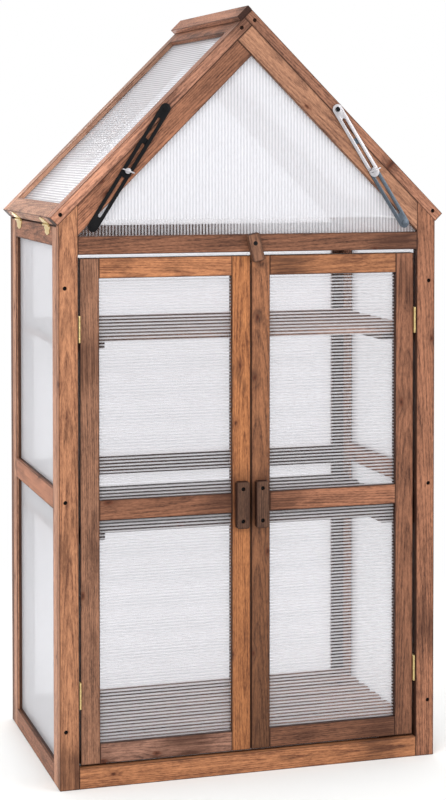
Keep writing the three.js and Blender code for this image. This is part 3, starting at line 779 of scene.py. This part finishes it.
class GREENHOUSE_OT_finishes(UndoOperator, bpy.types.Operator):
    """Make the finishes of wood, sheet and metal"""

    bl_idname = "greenhouse.finishes"
    bl_label = "Finishes"

    def execute(self, context):
        fir = settings("fir")
        metal = settings("metal")
        # Fir scorched and oiled: warm and golden, red-brown, or cooler and greyer
        fir_material("fir_honey", fir.honey_light, fir.honey_dark)
        fir_material("fir_brown", fir.brown_light, fir.brown_dark)
        fir_material("fir_grey", fir.grey_light, fir.grey_dark)
        # Extruded sheet: milky lines that glow where the light comes through
        sheet_material("twin_wall_sheet")
        # Stamped and lacquered brass: a pale yellow with a soft, uneven gloss
        metal_material("brass", metal.brass, rough=0.4, wear_mm=0.5, dents=0.15)
        # Powder-coated steel: near black, with hardly a highlight. On the screw heads in the
        # counterbores the near black is partly painted shade of the holes
        metal_material("black_steel", metal.black, rough=0.5, metallic=0.0, gloss_level=0.12)
        # Blued spring steel: a dark blue-grey with a broad highlight
        metal_material("blued_steel", metal.blued, rough=0.4)
        # Zinc-plated steel: a bright grey, slightly cloudy
        metal_material("zinc_steel", metal.zinc, rough=0.45)
        return {"FINISHED"}


class GREENHOUSE_OT_front(UndoOperator, bpy.types.Operator):
    """Dress the posts and rails of the front, and the front gable"""

    bl_idname = "greenhouse.front"
    bl_label = "Front Frame"

    def execute(self, context):
        for part in ("left_post", "right_post", "top_rail", "bottom_rail"):
            dress_board(f"front_{part}")
        for side, way in WAYS:
            dress_board(f"front_{side}_gable_rafter", Matrix.Rotation(way * PITCH, 4, "Y"))
        return {"FINISHED"}


PITCH = math.radians(45)
BOARD = 37 * MM
THICKNESS = 20 * MM
MIDDLE_RAIL = (0.520, 0.559)
BACK_MIDDLE_RAIL = (0.509, 0.546)
BACK_POST = 44 * MM
SLATS = 7
SLAT = 13 * MM
BATTEN_INSET = 38 * MM
BOTTOM_RAIL = 39 * MM
TOP_RAIL = (1.001, 1.035)
GABLE_BOARD = 40 * MM
CLEAT = (20 * MM, 14 * MM)
# The outer part of the edge round a side sheet, which gets no painted shade; deeper in, the side gets
# painted shade
LIP = 5 * MM
SIDE_GAP_SHADES = {"gaps": (1.0, 1.0), "lip": LIP}
STILE_WARMTH = 0.85
# Tones of the front and the back stile, and of the rails of a side frame from the bottom up
STILE_TONES = (1.3, 0.7)
RAIL_TONES = (0.2, 4.4, 0.4)
# Looks of the boards inside the cabinet, darker and paler as painted shade of the closed cabinet, and
# the tone of their outer face behind, lighter as painted light
SHADED = (-5.0, NO_BURN, 0.0, 0.95)
OUTER_PAINTED_LIGHT_TONE = -0.4
# Tone of the slats of each shelf, and how they lighten from left to right: the middle shelf is darker
# as painted shade, the upper and the lower shelf lighter, and lighter to the right, as painted light
SLAT_LOOKS = {"lower_shelf": (1.3, 1.8), "middle_shelf": (-5.2, 0.3), "upper_shelf": (0.8, 2.0)}
SLAT_WARMTH = 0.85
SLAT_STEP = 0.3
BATTEN_LOOK = (-2.5,)


class GREENHOUSE_OT_sides(UndoOperator, bpy.types.Operator):
    """Dress the two side frames, board by board"""

    bl_idname = "greenhouse.sides"
    bl_label = "Side Frames"

    def execute(self, context):
        for side, way in WAYS:
            node = f"{side}_side_frame"
            low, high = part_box(node)
            chance = node_chance(node)
            outer = way * max(abs(low.x), abs(high.x))
            inner = outer - way * THICKNESS
            x0, x1 = sorted((outer, inner))
            stiles = board_bmesh()
            for y0, tone in zip((low.y, high.y - BOARD), STILE_TONES):
                add_board(stiles, Vector((x0, y0, 0)), Vector((x1, y0 + BOARD, high.z)), chance,
                          look=(tone, NO_BURN, 0.0, STILE_WARMTH), **SIDE_GAP_SHADES)
            set_down(node + "_stiles", stiles, node, "fir_honey", replaces=False)
            bm = board_bmesh()
            rails = ((0, BOARD), MIDDLE_RAIL, (high.z - BOARD, high.z))
            for (z0, z1), tone in zip(rails, RAIL_TONES):
                add_board(bm, Vector((x0, low.y + BOARD, z0)), Vector((x1, high.y - BOARD, z1)),
                          chance, look=(tone,), **SIDE_GAP_SHADES)
            c0, c1 = sorted((inner, inner - way * CLEAT[0]))
            for shelf in ("lower_shelf", "middle_shelf", "upper_shelf"):
                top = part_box(shelf)[1].z - SLAT
                add_board(bm, Vector((c0, low.y, top - CLEAT[1])), Vector((c1, high.y, top)), chance)
            set_down(node + "_boards", bm, node)
        return {"FINISHED"}


class GREENHOUSE_OT_back(UndoOperator, bpy.types.Operator):
    """Dress the back frame and the back gable, board by board"""

    bl_idname = "greenhouse.back"
    bl_label = "Back Frame"

    def execute(self, context):
        low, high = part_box("back_frame")
        half = high.x
        opening = half - BOARD
        inner = half - BACK_POST
        ridge = high.z + opening
        chance = node_chance("back_frame")
        bm = board_bmesh()
        for way in (-1, 1):
            outline = [(way * half, 0), (way * inner, 0), (way * inner, TOP_RAIL[1]),
                       (way * opening, TOP_RAIL[1]), (way * opening, ridge - opening),
                       (way * half, ridge - half)]
            # Inner faces darker as painted shade, the outer back face lighter as painted light
            add_plank(bm, outline, low.y, high.y, IDENTITY, chance, SHADED, behind=OUTER_PAINTED_LIGHT_TONE)
        for z0, z1 in ((0, BOTTOM_RAIL), BACK_MIDDLE_RAIL, TOP_RAIL):
            add_board(bm, Vector((-inner, low.y, z0)), Vector((inner, high.y, z1)), chance,
                      look=SHADED, behind=OUTER_PAINTED_LIGHT_TONE)
        set_down("back_frame_boards", bm, "back_frame")
        bm = board_bmesh()
        wide = GABLE_BOARD / math.cos(PITCH)
        cut = ridge - TOP_RAIL[1]
        for way in (-1, 1):
            outline = [(0, ridge), (0, ridge - wide), (way * (cut - wide), TOP_RAIL[1]),
                       (way * opening, TOP_RAIL[1]), (way * opening, ridge - opening)]
            add_plank(bm, outline, low.y, high.y, Matrix.Rotation(way * PITCH, 4, "Y"), chance)
        set_down("back_gable_frame_boards", bm, "back_gable_frame")
        return {"FINISHED"}


class GREENHOUSE_OT_shelves(UndoOperator, bpy.types.Operator):
    """Dress the three slatted shelves"""

    bl_idname = "greenhouse.shelves"
    bl_label = "Shelves"

    def execute(self, context):
        for node, (tone, fade) in SLAT_LOOKS.items():
            low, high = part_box(node)
            chance = node_chance(node)
            bm = board_bmesh()
            under = high.z - SLAT
            step = (high.y - low.y - BOARD) / (SLATS - 1)
            for i in range(SLATS):
                y = low.y + i * step
                look = (tone + SLAT_STEP * (i % 3 - 1), NO_BURN, fade, SLAT_WARMTH)
                add_board(bm, Vector((low.x, y, under)), Vector((high.x, y + BOARD, high.z)),
                          chance, look=look)
            outer = high.x - BATTEN_INSET
            for x0 in (-outer, outer - BOARD):
                add_board(bm, Vector((x0, low.y, low.z)), Vector((x0 + BOARD, high.y, under)),
                          chance, look=BATTEN_LOOK)
            set_down(node + "_boards", bm, node)
        return {"FINISHED"}


# Up to here the back rail shows through the gable sheet, more clearly at the left than further on
GABLE_FOOT = TOP_RAIL[1] + 28 * MM
FOOT_BLEND = 3 * MM
CLEAREST = -1.0
HAZIEST = 0.5
HAZE_FROM = -0.33
HAZE_RISE = 4.2
# Haze of the sheets: full where the light rakes over them; a hazier sheet also gets brighter milky
# lines, which is painted light
DOOR_HAZE = 0.0
SIDE_HAZE = 0.85
ROOF_HAZE = 0.8


def foot_haze(x):
    """Haze at the foot of the gable sheet, at a place across the front."""
    return min(HAZIEST, CLEAREST + (x - HAZE_FROM) * HAZE_RISE)


# Faces of a sheet from rib to rib
STEPS_PER_RIB = 4


def add_sheet(node, turn, ribs_along, outline_cuts=(), haze=1.0, foot=None):
    """A ribbed sheet in a turned frame: flat in the frame's thinnest axis, its ribs along one
    axis, and cut by planes given as point and normal. Below its foot it is clearer."""
    look = settings("sheet")
    low, high = bounds_in(node, turn)
    size = high - low
    middle = (low + high) / 2
    thin = min(range(3), key=lambda i: size[i])
    across = next(i for i in range(3) if i not in (thin, ribs_along))
    pitch = look.rib_spacing * MM
    steps = int(size[across] / pitch * STEPS_PER_RIB)
    bm = bmesh.new()
    bmesh.ops.create_grid(bm, x_segments=steps, y_segments=1, size=0.5)
    # The grid's X goes across the ribs, its Y along them and its Z through the sheet
    spread = Matrix.Translation(middle)
    for column, axis, reach in ((0, across, size[across]), (1, ribs_along, size[ribs_along]),
                                (2, thin, 1)):
        for row in range(3):
            spread[row][column] = reach if row == axis else 0
    bmesh.ops.transform(bm, matrix=spread, verts=bm.verts)
    for v in bm.verts:
        v.co[thin] = high[thin]
    lifted = bmesh.ops.extrude_face_region(bm, geom=bm.faces[:])
    for v in (g for g in lifted["geom"] if isinstance(g, bmesh.types.BMVert)):
        v.co[thin] = low[thin]
    for v in bm.verts:
        wave = 0.5 - 0.5 * math.cos(2 * math.pi * (v.co[across] - low[across]) / pitch)
        sink = look.rib_height * MM * (1 - wave)
        v.co[thin] += -sink if v.co[thin] > middle[thin] else sink
    for point, normal in outline_cuts:
        cut = bmesh.ops.bisect_plane(
            bm, geom=bm.verts[:] + bm.edges[:] + bm.faces[:], plane_co=point, plane_no=normal,
            clear_outer=True,
        )
        rim = [g for g in cut["geom_cut"] if isinstance(g, bmesh.types.BMEdge)]
        bmesh.ops.contextual_create(bm, geom=rim)
    if foot:
        for level in (foot, foot + FOOT_BLEND):
            bmesh.ops.bisect_plane(bm, geom=bm.verts[:] + bm.edges[:] + bm.faces[:],
                                   plane_co=(0, 0, level), plane_no=(0, 0, 1))
    bm.verts.layers.float.new("rib")
    bm.verts.layers.float.new("haze")
    rib = bm.verts.layers.float["rib"]
    veil = bm.verts.layers.float["haze"]
    for v in bm.verts:
        v[rib] = v.co[across] - low[across]
        v[veil] = foot_haze(v.co.x) if foot and v.co.z < foot + FOOT_BLEND / 2 else haze
    bmesh.ops.transform(bm, matrix=turn, verts=bm.verts)
    bmesh.ops.recalc_face_normals(bm, faces=bm.faces)
    set_down(node + "_ribbed", bm, node)


class GREENHOUSE_OT_sheets(UndoOperator, bpy.types.Operator):
    """Make the ribbed twin-wall sheets of the walls, the doors and the gables"""

    bl_idname = "greenhouse.sheets"
    bl_label = "Sheets"

    def execute(self, context):
        x = 0
        z = 2
        for side in SIDES:
            add_sheet(f"{side}_side_sheet", IDENTITY, z, haze=SIDE_HAZE)
            for level in ("lower", "upper"):
                add_sheet(f"{side}_door_{level}_sheet", IDENTITY, x, haze=DOOR_HAZE)
        add_sheet("back_sheet", IDENTITY, x)
        for gable, foot in (("front", GABLE_FOOT), ("back", None)):
            node = f"{gable}_gable_sheet"
            add_sheet(node, IDENTITY, z, self.gable_cuts(node), foot=foot)
        return {"FINISHED"}

    def gable_cuts(self, node):
        """The planes of the two slopes of a gable sheet, as point and normal."""
        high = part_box(node)[1]
        # To a tenth of a millimetre: its foot, the shoulders where the slopes start, its top
        heights = sorted({round(v.co.z, 4) for v in frame["nodes"][node].data.vertices})
        shoulder = heights[1]
        normal = Vector((high.z - shoulder, 0, high.x)).normalized()
        return [(Vector((way * high.x, 0, shoulder)), Vector((way * normal.x, 0, normal.z)))
                for way in (-1, 1)]


def pin_of(joint):
    """A point on the axis of a joint."""
    return Vector(next(row["pos_m"] for row in frame["joints"] if row["name"] == joint))


def roof_turn(side):
    """The frame of a roof half: X up the slope, Y along the eave, Z out of the slope."""
    place = Matrix.Translation(pin_of(f"{side}_roof_lift"))
    if side == "right":
        place = place @ Matrix.Rotation(math.pi, 4, "Z")
    return place @ Matrix.Rotation(-PITCH, 4, "Y")


class GREENHOUSE_OT_roof(UndoOperator, bpy.types.Operator):
    """Dress both halves of the roof and the ridge cap"""

    bl_idname = "greenhouse.roof"
    bl_label = "Roof"

    def execute(self, context):
        for side in SIDES:
            turn = roof_turn(side)
            for part in ("front_rafter", "back_rafter", "top_rail"):
                dress_board(f"{side}_roof_{part}", turn)
            node = f"{side}_roof_eave_rail"
            low, high = bounds_in(f"{side}_roof_top_rail", turn)
            low.x = bounds_in(f"{side}_roof_front_rafter", turn)[0].x
            high.x = low.x + BOARD
            bm = board_bmesh()
            add_board(bm, low, high, node_chance(node), turn, LOOKS.get(node, ()))
            set_down(node + "_board", bm, node)
            add_sheet(f"{side}_roof_sheet", turn, 1, haze=ROOF_HAZE)
        dress_board("ridge_cap", roof_turn("left"))
        return {"FINISHED"}


class GREENHOUSE_OT_doors(UndoOperator, bpy.types.Operator):
    """Dress the boards and handles of both doors"""

    bl_idname = "greenhouse.doors"
    bl_label = "Doors"

    def execute(self, context):
        for side in SIDES:
            for part in ("meeting_stile", "top_rail", "middle_rail", "bottom_rail", "handle"):
                dress_board(f"{side}_door_{part}")
            node = f"{side}_door_hinge_stile"
            low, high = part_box(f"{side}_door_meeting_stile")
            rail_low, rail_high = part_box(f"{side}_door_top_rail")
            low.x = rail_low.x - BOARD if side == "left" else rail_high.x
            high.x = low.x + BOARD
            bm = board_bmesh()
            add_board(bm, low, high, node_chance(node), look=LOOKS[node], gaps=gaps_of(node))
            set_down(node + "_board", bm, node)
        return {"FINISHED"}


METAL_EASE = 0.2 * MM


def dress_metal(node):
    """A fitting whose CAD shape is right, with its edges broken and its round faces smooth."""
    bm = merged_copy(node)
    ease_edges(bm, METAL_EASE)
    smooth_rounds(bm)
    set_down(node + "_dressed", bm, node, smooth=True)


def add_bar(bm, radius, low, high, place, segments=24, dome=0.0):
    """Adds a round bar along the Z axis of a place, its top edge rounded by the dome."""
    part = bmesh.new()
    bmesh.ops.create_cone(
        part, cap_ends=True, segments=segments, radius1=radius, radius2=radius, depth=high - low,
        matrix=Matrix.Translation((0, 0, (low + high) / 2)),
    )
    if dome:
        rim = [e for e in part.edges if all(v.co.z > high - MERGE_WITHIN for v in e.verts)]
        bmesh.ops.bevel(part, geom=rim, offset=dome, offset_type="OFFSET", segments=3, profile=0.5,
                        affect="EDGES", material=-1)
    add_part(bm, part, place)


HOLE_DEPTH = 6 * MM
OUT_OF_FRONT = Matrix.Rotation(math.radians(90), 4, "X")
# A screw head over the floor of its hole: its radius, its foot and top, its dome and its cross
HEAD = 3.9 * MM
HEAD_RISE = (-0.2 * MM, 1.6 * MM)
HEAD_SEGMENTS = 20
HEAD_DOME = 0.9 * MM
CROSS = (Vector((-1.9 * MM, -0.35 * MM, 1.5 * MM)), Vector((1.9 * MM, 0.35 * MM, 1.75 * MM)))
CROSS_ANGLES = (35, 125)


def add_screws(node, spots, face, turn=IDENTITY, radius=HEAD):
    """Cross-head screws at the bottom of counterbores. The spots are X and Z in the turned
    frame, and the face is where the holes start."""
    bm = bmesh.new()
    for x, z in spots:
        place = turn @ Matrix.Translation((x, face + HOLE_DEPTH, z)) @ OUT_OF_FRONT
        add_bar(bm, radius, *HEAD_RISE, place, HEAD_SEGMENTS, HEAD_DOME)
        for angle in CROSS_ANGLES:
            spin = place @ Matrix.Rotation(math.radians(angle), 4, "Z")
            add_part(bm, block(*CROSS), spin)
    # The heads are near black, partly as painted shade down in the counterbores
    set_down(node + "_screws", bm, node, "black_steel", replaces=False)


# A hinge: its knuckles, their radius, the thickness of its metal and the play between knuckles
KNUCKLES = 5
KNUCKLE = 2.5 * MM
LEAF = 1.2 * MM
PLAY = 0.3 * MM


def add_hinge_leaf(node, place, size, away, shape):
    """The moving half of a hinge of a length and a width. In its place Z is the pin, the leaf
    lies flat at a distance along X and reaches along +Y. Its shape is half of its outline, in
    shares of its length and its width."""
    bm = bmesh.new()
    length, width = size
    step = length / KNUCKLES
    x0, x1 = sorted((away, away - math.copysign(LEAF, away)))
    for i in range(1, KNUCKLES, 2):
        z0 = -length / 2 + i * step + PLAY / 2
        z1 = -length / 2 + (i + 1) * step - PLAY / 2
        add_bar(bm, KNUCKLE, z0, z1, place)
        neck = block(Vector((x0, 0, z0)), Vector((x1, KNUCKLE + 2 * PLAY, z1)))
        add_part(bm, neck, place)
    start = KNUCKLE + PLAY
    upper = [(x0, start + y * (width - start), z * length) for z, y in shape]
    lower = [(x, y, -z) for x, y, z in reversed(upper)]
    leaf = cut_out(upper + lower, (x1 - x0, 0, 0))
    ease_edges(leaf, METAL_EASE)
    add_part(bm, leaf, place)
    smooth_rounds(bm)
    set_down(node + "_hinge_leaves", bm, node, "brass", replaces=False, smooth=True)


BUTTON_TILT = math.radians(13)
# Length and width of a hinge, and how far off its pin the moving leaf lies
DOOR_HINGE = (50 * MM, 14 * MM)
DOOR_HINGE_HEIGHTS = (0.175, 0.862)
DOOR_LEAF_AWAY = 1.7 * MM
DOOR_LEAF = ((0.5, 0), (0.5, 1))
ROOF_HINGE = (52 * MM, 19 * MM)
ROOF_HINGE_INSET = 100 * MM
ROOF_LEAF_AWAY = 2.8 * MM
ROOF_LEAF = ((0.5, 0), (0.5, 0.22), (0.4, 0.34), (0.36, 0.5), (0.41, 0.62), (0.36, 0.8),
             (0.2, 0.86), (0.1, 1))
# The screw of the turn button: its place across, how deep it lies and its head
BUTTON_SCREW = 3 * MM
BUTTON_SINK = 4.6 * MM
BUTTON_HEAD = 4.5 * MM
# The screws of the posts: off the middle, and up
POST_SCREWS = (0.363, (0.11, 0.54, 0.939))
# The two screws of a handle: the height between them, and how far off it each one is
HANDLE_SCREWS = (0.518, 0.031)
# The screw that holds a stay to its roof half: off the middle, up, and how far it stands out
STAY_SCREW = (0.171, 1.273)
STAY_RISE = 1.5 * MM
STAY_HEAD = 5.2 * MM
# The screws of a rafter from its lower and its upper end
EAVE_INSET = 18 * MM
RIDGE_INSET = 38 * MM


class GREENHOUSE_OT_fittings(UndoOperator, bpy.types.Operator):
    """Finish the turn button, the hinges, the stays and the screws"""

    bl_idname = "greenhouse.fittings"
    bl_label = "Fittings"

    def execute(self, context):
        dress_board("turn_button", Matrix.Rotation(-BUTTON_TILT, 4, "Y"))
        for node in list(frame["nodes"]):
            if node.endswith("_hinge") or "_stay_" in node:
                dress_metal(node)
        self.hinges()
        self.screws()
        return {"FINISHED"}

    def hinges(self):
        """The moving leaves, which ride with the doors and with the roof halves."""
        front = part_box("front_left_post")[0].y
        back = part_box("back_frame")[1].y
        for side, way in WAYS:
            x, y = pin_of(f"{side}_door_swing")[:2]
            for z in DOOR_HINGE_HEIGHTS:
                add_hinge_leaf(f"{side}_door_hinge_stile", Matrix.Translation((x, y, z)),
                               DOOR_HINGE, -way * DOOR_LEAF_AWAY, DOOR_LEAF)
            flat = Matrix.Rotation(-way * math.radians(90), 4, "X")
            for y in (front + ROOF_HINGE_INSET, back - ROOF_HINGE_INSET):
                place = roof_turn(side) @ Matrix.Translation((0, y, 0)) @ flat
                add_hinge_leaf(f"{side}_roof_eave_rail", place, ROOF_HINGE, ROOF_LEAF_AWAY, ROOF_LEAF)

    def screws(self):
        """The screws of the turn button, the posts, the handles, the stays and the rafters."""
        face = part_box("turn_button")[0].y - BUTTON_SINK
        add_screws("turn_button", [(BUTTON_SCREW, sum(TOP_RAIL) / 2)], face, radius=BUTTON_HEAD)
        for side, way in WAYS:
            x, heights = POST_SCREWS
            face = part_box("front_left_post")[0].y
            add_screws(f"front_{side}_post", [(way * x, z) for z in heights], face)
            low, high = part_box(f"{side}_door_handle")
            x = (low.x + high.x) / 2
            z, off = HANDLE_SCREWS
            add_screws(f"{side}_door_handle", [(x, z - off), (x, z + off)], low.y)
            arm = f"{side}_stay_upper_arm"
            x, z = STAY_SCREW
            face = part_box(arm)[0].y + STAY_RISE - HOLE_DEPTH
            add_screws(arm, [(way * x, z)], face, radius=STAY_HEAD)
            self.rafter_screws(side)

    def rafter_screws(self, side):
        """The two screws in the front face of a front rafter of the roof."""
        node = f"{side}_roof_front_rafter"
        turn = roof_turn(side)
        low, high = bounds_in(node, turn)
        across = (low.z + high.z) / 2
        ends = [(low.x + EAVE_INSET, across), (high.x - RIDGE_INSET, across)]
        face = low.y
        if side == "right":
            # Y points to the front in this half's frame, so the frame is turned round
            turn = turn @ Matrix.Rotation(math.pi, 4, "Z")
            ends = [(-x, z) for x, z in ends]
            face = -high.y
        add_screws(node, ends, face, turn)


FLOOR_REACH = 3.0
# Strength of the sky, as it lights the greenhouse and as it is seen
SKY = 1.05
SKY_SEEN = 1.0
# Place of each lamp, its size in metres, its power in watts and the height that it aims at
LAMPS = {
    "key": ((-3.2, -4.2, 4.2), 2.6, 150, 0.75),
    "fill": ((3.6, -3.6, 2.2), 2.4, 70, 0.75),
    "rim": ((0.5, 3.8, 1.0), 1.8, 85, 0.75),
    "side": ((-2.8, 0.3, 0.3), 0.9, 14, 0.3),
}
SENSOR_MM = 36
# Height of the frame that the focal length is given for
FRAME_PX = 800


class GREENHOUSE_OT_stage(UndoOperator, bpy.types.Operator):
    """Set the floor, the lamps, the world and the camera"""

    bl_idname = "greenhouse.stage"
    bl_label = "Stage"

    def execute(self, context):
        look = settings("stage")
        scene = context.scene
        scene.view_settings.view_transform = "Standard"
        self.floor(look, scene)
        self.world(scene)
        self.lamps(scene)
        self.camera(look, scene)
        return {"FINISHED"}

    def floor(self, look, scene):
        """A matte pale floor that fades out round the greenhouse."""
        bm = bmesh.new()
        bmesh.ops.create_grid(bm, x_segments=1, y_segments=1, size=FLOOR_REACH)
        mesh = bpy.data.meshes.new("floor")
        bm.to_mesh(mesh)
        bm.free()
        floor = bpy.data.objects.new("floor", mesh)
        scene.collection.objects.link(floor)
        made = new_material("pale_floor")
        tree = made.node_tree
        place = add(tree, PLACE).outputs["Object"]
        reach = add(tree, VECTOR_MATH, {0: place}, operation="LENGTH").outputs["Value"]
        fade = add(tree, RANGE, {"Value": reach, 1: look.floor_near, 2: look.floor_far},
                   interpolation_type="SMOOTHSTEP")
        matte = add(tree, "ShaderNodeBsdfDiffuse", {"Color": rgba(look.floor)})
        clear = add(tree, "ShaderNodeBsdfTransparent")
        shader = add(tree, "ShaderNodeMixShader", {0: fade, 1: matte, 2: clear})
        add(tree, SURFACE, {0: shader})
        mesh.materials.append(made)

    def world(self, scene):
        """A white sky, slightly stronger than it looks to the camera."""
        world = bpy.data.worlds.new("studio")
        scene.world = world
        world.use_nodes = True
        tree = world.node_tree
        tree.nodes.clear()
        rays = add(tree, "ShaderNodeLightPath").outputs
        seen = rays["Is Camera Ray"]
        for kind in ("Is Glossy Ray", "Is Transmission Ray"):
            seen = add(tree, MATH, {0: seen, 1: rays[kind]}, operation="MAXIMUM")
        strength = add(tree, MATH, {0: seen, 1: SKY_SEEN - SKY, 2: SKY}, operation="MULTIPLY_ADD")
        sky = add(tree, "ShaderNodeBackground", {"Color": (1, 1, 1, 1), "Strength": strength})
        add(tree, "ShaderNodeOutputWorld", {0: sky})

    def lamps(self, scene):
        """Soft area lamps, each aimed at the middle of the greenhouse or at its foot."""
        for name, (place, size, power, height) in LAMPS.items():
            lamp = bpy.data.lights.new(name, "AREA")
            lamp.size = size
            lamp.energy = power
            made = bpy.data.objects.new(name, lamp)
            scene.collection.objects.link(made)
            made.location = place
            aim = Vector((0, 0, height)) - Vector(place)
            made.rotation_euler = aim.to_track_quat("-Z", "Y").to_euler()

    def camera(self, look, scene):
        """The camera that the settings describe."""
        data = bpy.data.cameras.new("camera")
        data.sensor_width = SENSOR_MM
        data.lens = look.focal_px / FRAME_PX * SENSOR_MM
        data.shift_x, data.shift_y = look.shift
        made = bpy.data.objects.new("camera", data)
        scene.collection.objects.link(made)
        made.location = look.camera_place
        made.rotation_euler = (
            math.radians(90) - look.camera_tip, 0, -look.camera_turn
        )
        scene.camera = made


STEPS = (
    "finishes", "front", "sides", "back", "shelves", "sheets", "roof", "doors", "fittings", "stage",
)


class GREENHOUSE_PT_panel(bpy.types.Panel):
    """Lists what builds the greenhouse"""

    bl_idname = "GREENHOUSE_PT_panel"
    bl_label = "Wooden Mini Greenhouse"
    bl_space_type = "VIEW_3D"
    bl_region_type = "UI"
    bl_category = "Greenhouse"

    def draw(self, context):
        """One button for each operator."""
        for step in STEPS:
            self.layout.operator("greenhouse." + step)


CLASSES = (
    GREENHOUSE_PG_fir, GREENHOUSE_PG_sheet, GREENHOUSE_PG_metal, GREENHOUSE_PG_stage,
    GREENHOUSE_OT_finishes, GREENHOUSE_OT_front, GREENHOUSE_OT_sides, GREENHOUSE_OT_back,
    GREENHOUSE_OT_shelves, GREENHOUSE_OT_sheets, GREENHOUSE_OT_roof, GREENHOUSE_OT_doors,
    GREENHOUSE_OT_fittings, GREENHOUSE_OT_stage, GREENHOUSE_PT_panel,
)
GROUPS = {"fir": GREENHOUSE_PG_fir, "sheet": GREENHOUSE_PG_sheet, "metal": GREENHOUSE_PG_metal,
          "stage": GREENHOUSE_PG_stage}


def register():
    """Adds the classes and the settings to Blender."""
    for item in CLASSES:
        bpy.utils.register_class(item)
    for name, group in GROUPS.items():
        setattr(bpy.types.Scene, "greenhouse_" + name, PointerProperty(type=group))


def unregister():
    """Takes them out again."""
    for name in GROUPS:
        delattr(bpy.types.Scene, "greenhouse_" + name)
    for item in reversed(CLASSES):
        bpy.utils.unregister_class(item)


def main():
    """Builds the greenhouse."""
    register()
    for step in STEPS:
        getattr(bpy.ops.greenhouse, step)()


if __name__ == "__main__":
    main()
